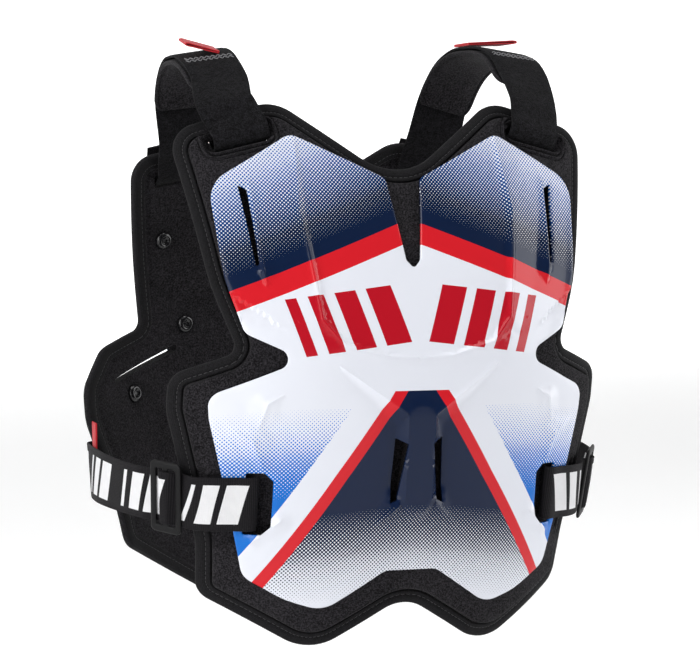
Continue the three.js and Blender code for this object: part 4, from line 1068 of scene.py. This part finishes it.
def build_waist(side):
    name = side_name(side)
    mirror = side < 0
    line, along, across, out, run = ribbon_frames(waist_route(), 1.5)
    if out[len(out) // 2, 0] < 0:
        out = -out
    # The strap is flat at the buckle, passes over its middle bar and under its ends.
    i = int(np.argmin(np.linalg.norm(line - BUCKLE_AT, axis=1)))
    near = np.linalg.norm(line - line[i], axis=1) < BUCKLE_HOLD
    reach = np.abs((line - line[i]) @ along[i]) / BAR_STEP
    wave = np.clip(1.6 * np.cos(np.pi * np.minimum(reach, 1)), -1, 1) * BAR_HEIGHT
    hold = np.clip((2.3 - reach) / .9, 0, 1) * near
    flat_off = (line - line[i]) @ out[i]
    line = line + out[i] * ((wave - flat_off) * hold)[:, None]
    w, t = WAIST_HALF, WAIST_THICK / 2
    section = [(-w, 0), (-w + .3, t * .7), (-w + 1.6, t), (-w + 2.2, t * .75), (-w + 2.8, t), (-6, t * 1.1),
               (6, t * 1.1), (w - 2.8, t), (w - 2.2, t * .75), (w - 1.6, t), (w - .3, t * .7), (w, 0),
               (w - .3, -t * .7), (w * .4, -t), (-w * .4, -t), (-w + .3, -t * .7)]
    strap = band(f"waist_webbing_{name}", line, across, out, run - run[i], section, mirror)
    dress(strap, "elastic", f"waist_strap_{name}")

    # The slide buckle: a rounded frame with a middle bar, modelled flat and then set on the strap.
    def rectangle(x, w, h, r):
        return rounded([((x - w, h), r), ((x + w, h), r), ((x + w, -h), r), ((x - w, -h), r)], .25, 3)

    base = line[i] - out[i] * (line[i] @ out[i] - (line[i] - out[i] * wave[i]) @ out[i])
    flip = np.array([-1 if mirror else 1, 1, 1])

    def set_on(x, z, h):
        return (base + along[i] * x[:, None] + across[i] * z[:, None] + out[i] * h[:, None]) * flip

    outer = rectangle(0, 13.5, 27, 4)
    windows = [rectangle(s * 5.6, 3.3, 21.5, 1.2) for s in SIDES]
    rings = [inset(outer, .8), inset(outer, 1.6)] + [inset(v, -.7) for v in windows]

    def thickness(flat):
        d = away(flat, outer)
        for window in windows:
            d = np.minimum(d, away(flat, window))
        return np.interp(d, [0, .7, 1.5], [.55, 1.15, 1.3])

    buckle = plate(f"waist_slider_{name}", outer, thickness, lambda f: -thickness(f), 2.0, windows, rings,
                   place=set_on, sharp=35)
    dress(buckle, "black_plastic", f"waist_buckle_{name}")

    # The red tab lines the strap where it meets the back pad's edge.
    j = int(np.argmin(np.abs(line[:, 1] - 178) + (line[:, 0] < 150) * 99))
    rows = slice(j - 4, j + 5)
    tab_line = line[rows] - out[rows] * 2.1 + across[rows] * 10
    tab = band(f"waist_pull_{name}", tab_line, across[rows], out[rows], run[rows],
               ribbon_section(28, .4, .6), mirror)
    dress(tab, "red_tab", f"waist_tab_{name}")


for side in SIDES:
    build_waist(side)


# ------ camera, floor and light
# The camera's turn, tilt, offset from the chest's origin and distance in millimetres, and its focal length in
# pixels of a picture PICTURE wide.
YAW, PITCH = math.radians(22), math.radians(2.95)
AXIS_ACROSS, AXIS_UP, DISTANCE = -48.3, 9.0, 2500
FOCAL, PICTURE, SENSOR = 3465, 700, 36
right = np.array([math.cos(YAW), -math.sin(YAW), 0])
ahead = np.array([math.sin(YAW) * math.cos(PITCH), math.cos(YAW) * math.cos(PITCH), -math.sin(PITCH)])
up = np.cross(right, ahead)
eye = world(right * AXIS_ACROSS + up * AXIS_UP - ahead * DISTANCE)[0]
camera = link(bpy.data.objects.new("camera", bpy.data.cameras.new("camera")))
camera.data.lens = FOCAL / PICTURE * SENSOR
camera.data.sensor_width = SENSOR
camera.data.clip_end = 50
turn = Matrix([[right[i], up[i], -ahead[i]] for i in range(3)]).to_4x4()
camera.matrix_world = Matrix.Translation(Vector(eye)) @ turn
bpy.context.scene.camera = camera


def sheet(name, corners_3d, paint_name, tone, emission):
    """A staged rectangle in the row's frame, in a pale matt finish that glows a little."""
    mesh = bpy.data.meshes.new(name)
    mesh.from_pydata(corners_3d, [], [(0, 1, 2, 3)])
    mesh.materials.append(Paint(paint_name, (tone,) * 3, .9, Emission_Color=(1, 1, 1, 1),
                                Emission_Strength=emission).mat)
    link(bpy.data.objects.new(name, mesh))


FLOOR_HALF, LEVEL = 30, world([0, 0, -300])[0, 2]
sheet("floor", [(a * FLOOR_HALF, b * FLOOR_HALF, LEVEL) for a, b in ((-1, -1), (1, -1), (1, 1), (-1, 1))],
      "pale_floor", .82, .30)
# A lit backdrop, well behind the part.
sheet("backdrop", [(-6, 4, LEVEL), (9, 4, LEVEL), (9, 4, LEVEL + 4), (-6, 4, LEVEL + 4)],
      "lit_backdrop", .9, .8)

bpy.context.scene.view_settings.view_transform = "Standard"
scene_world = bpy.data.worlds.new("studio")
bpy.context.scene.world = scene_world
scene_world.use_nodes = True
studio = scene_world.node_tree
background = studio.nodes["Background"]
background.inputs[0].default_value = (.97, .98, 1, 1)
# The studio is brighter towards the horizon, but for the side that the chest faces.
way = studio.nodes.new("ShaderNodeSeparateXYZ")
studio.links.new(studio.nodes.new("ShaderNodeTexCoord").outputs["Generated"], way.inputs[0])
low = (1.0 - Val(studio, way.outputs[2]).abs() * 2.6).clamp()
behind = (Val(studio, way.outputs[1]) * 1.4 + .95).clamp()
studio.links.new((low * behind * .4 + .14).socket, background.inputs[1])

LIT = Vector((0, 0, -.2))


def softbox(name, at, width, height, watts):
    """A rectangular light that faces the part; at is in metres in the row's frame."""
    data = bpy.data.lights.new(name, "AREA")
    data.shape, data.size, data.size_y, data.energy = "RECTANGLE", width, height, watts
    light = link(bpy.data.objects.new(name, data))
    facing = (LIT - Vector(at)).to_track_quat("-Z", "Y").to_matrix().to_4x4()
    light.matrix_world = Matrix.Translation(Vector(at)) @ facing


softbox("left_box", (-2.5, -.75, .75), 1.3, 1.9, 44)
softbox("right_box", (2.3, -1.15, .5), .9, 1.8, 22)
softbox("top_box", (0, -.7, 2.4), 2.0, 1.4, 40)
softbox("left_card", (-1.9, -1.5, -.05), 1.0, 1.2, 11)
softbox("right_card", (2.4, .1, .05), 1.0, 1.6, 14)
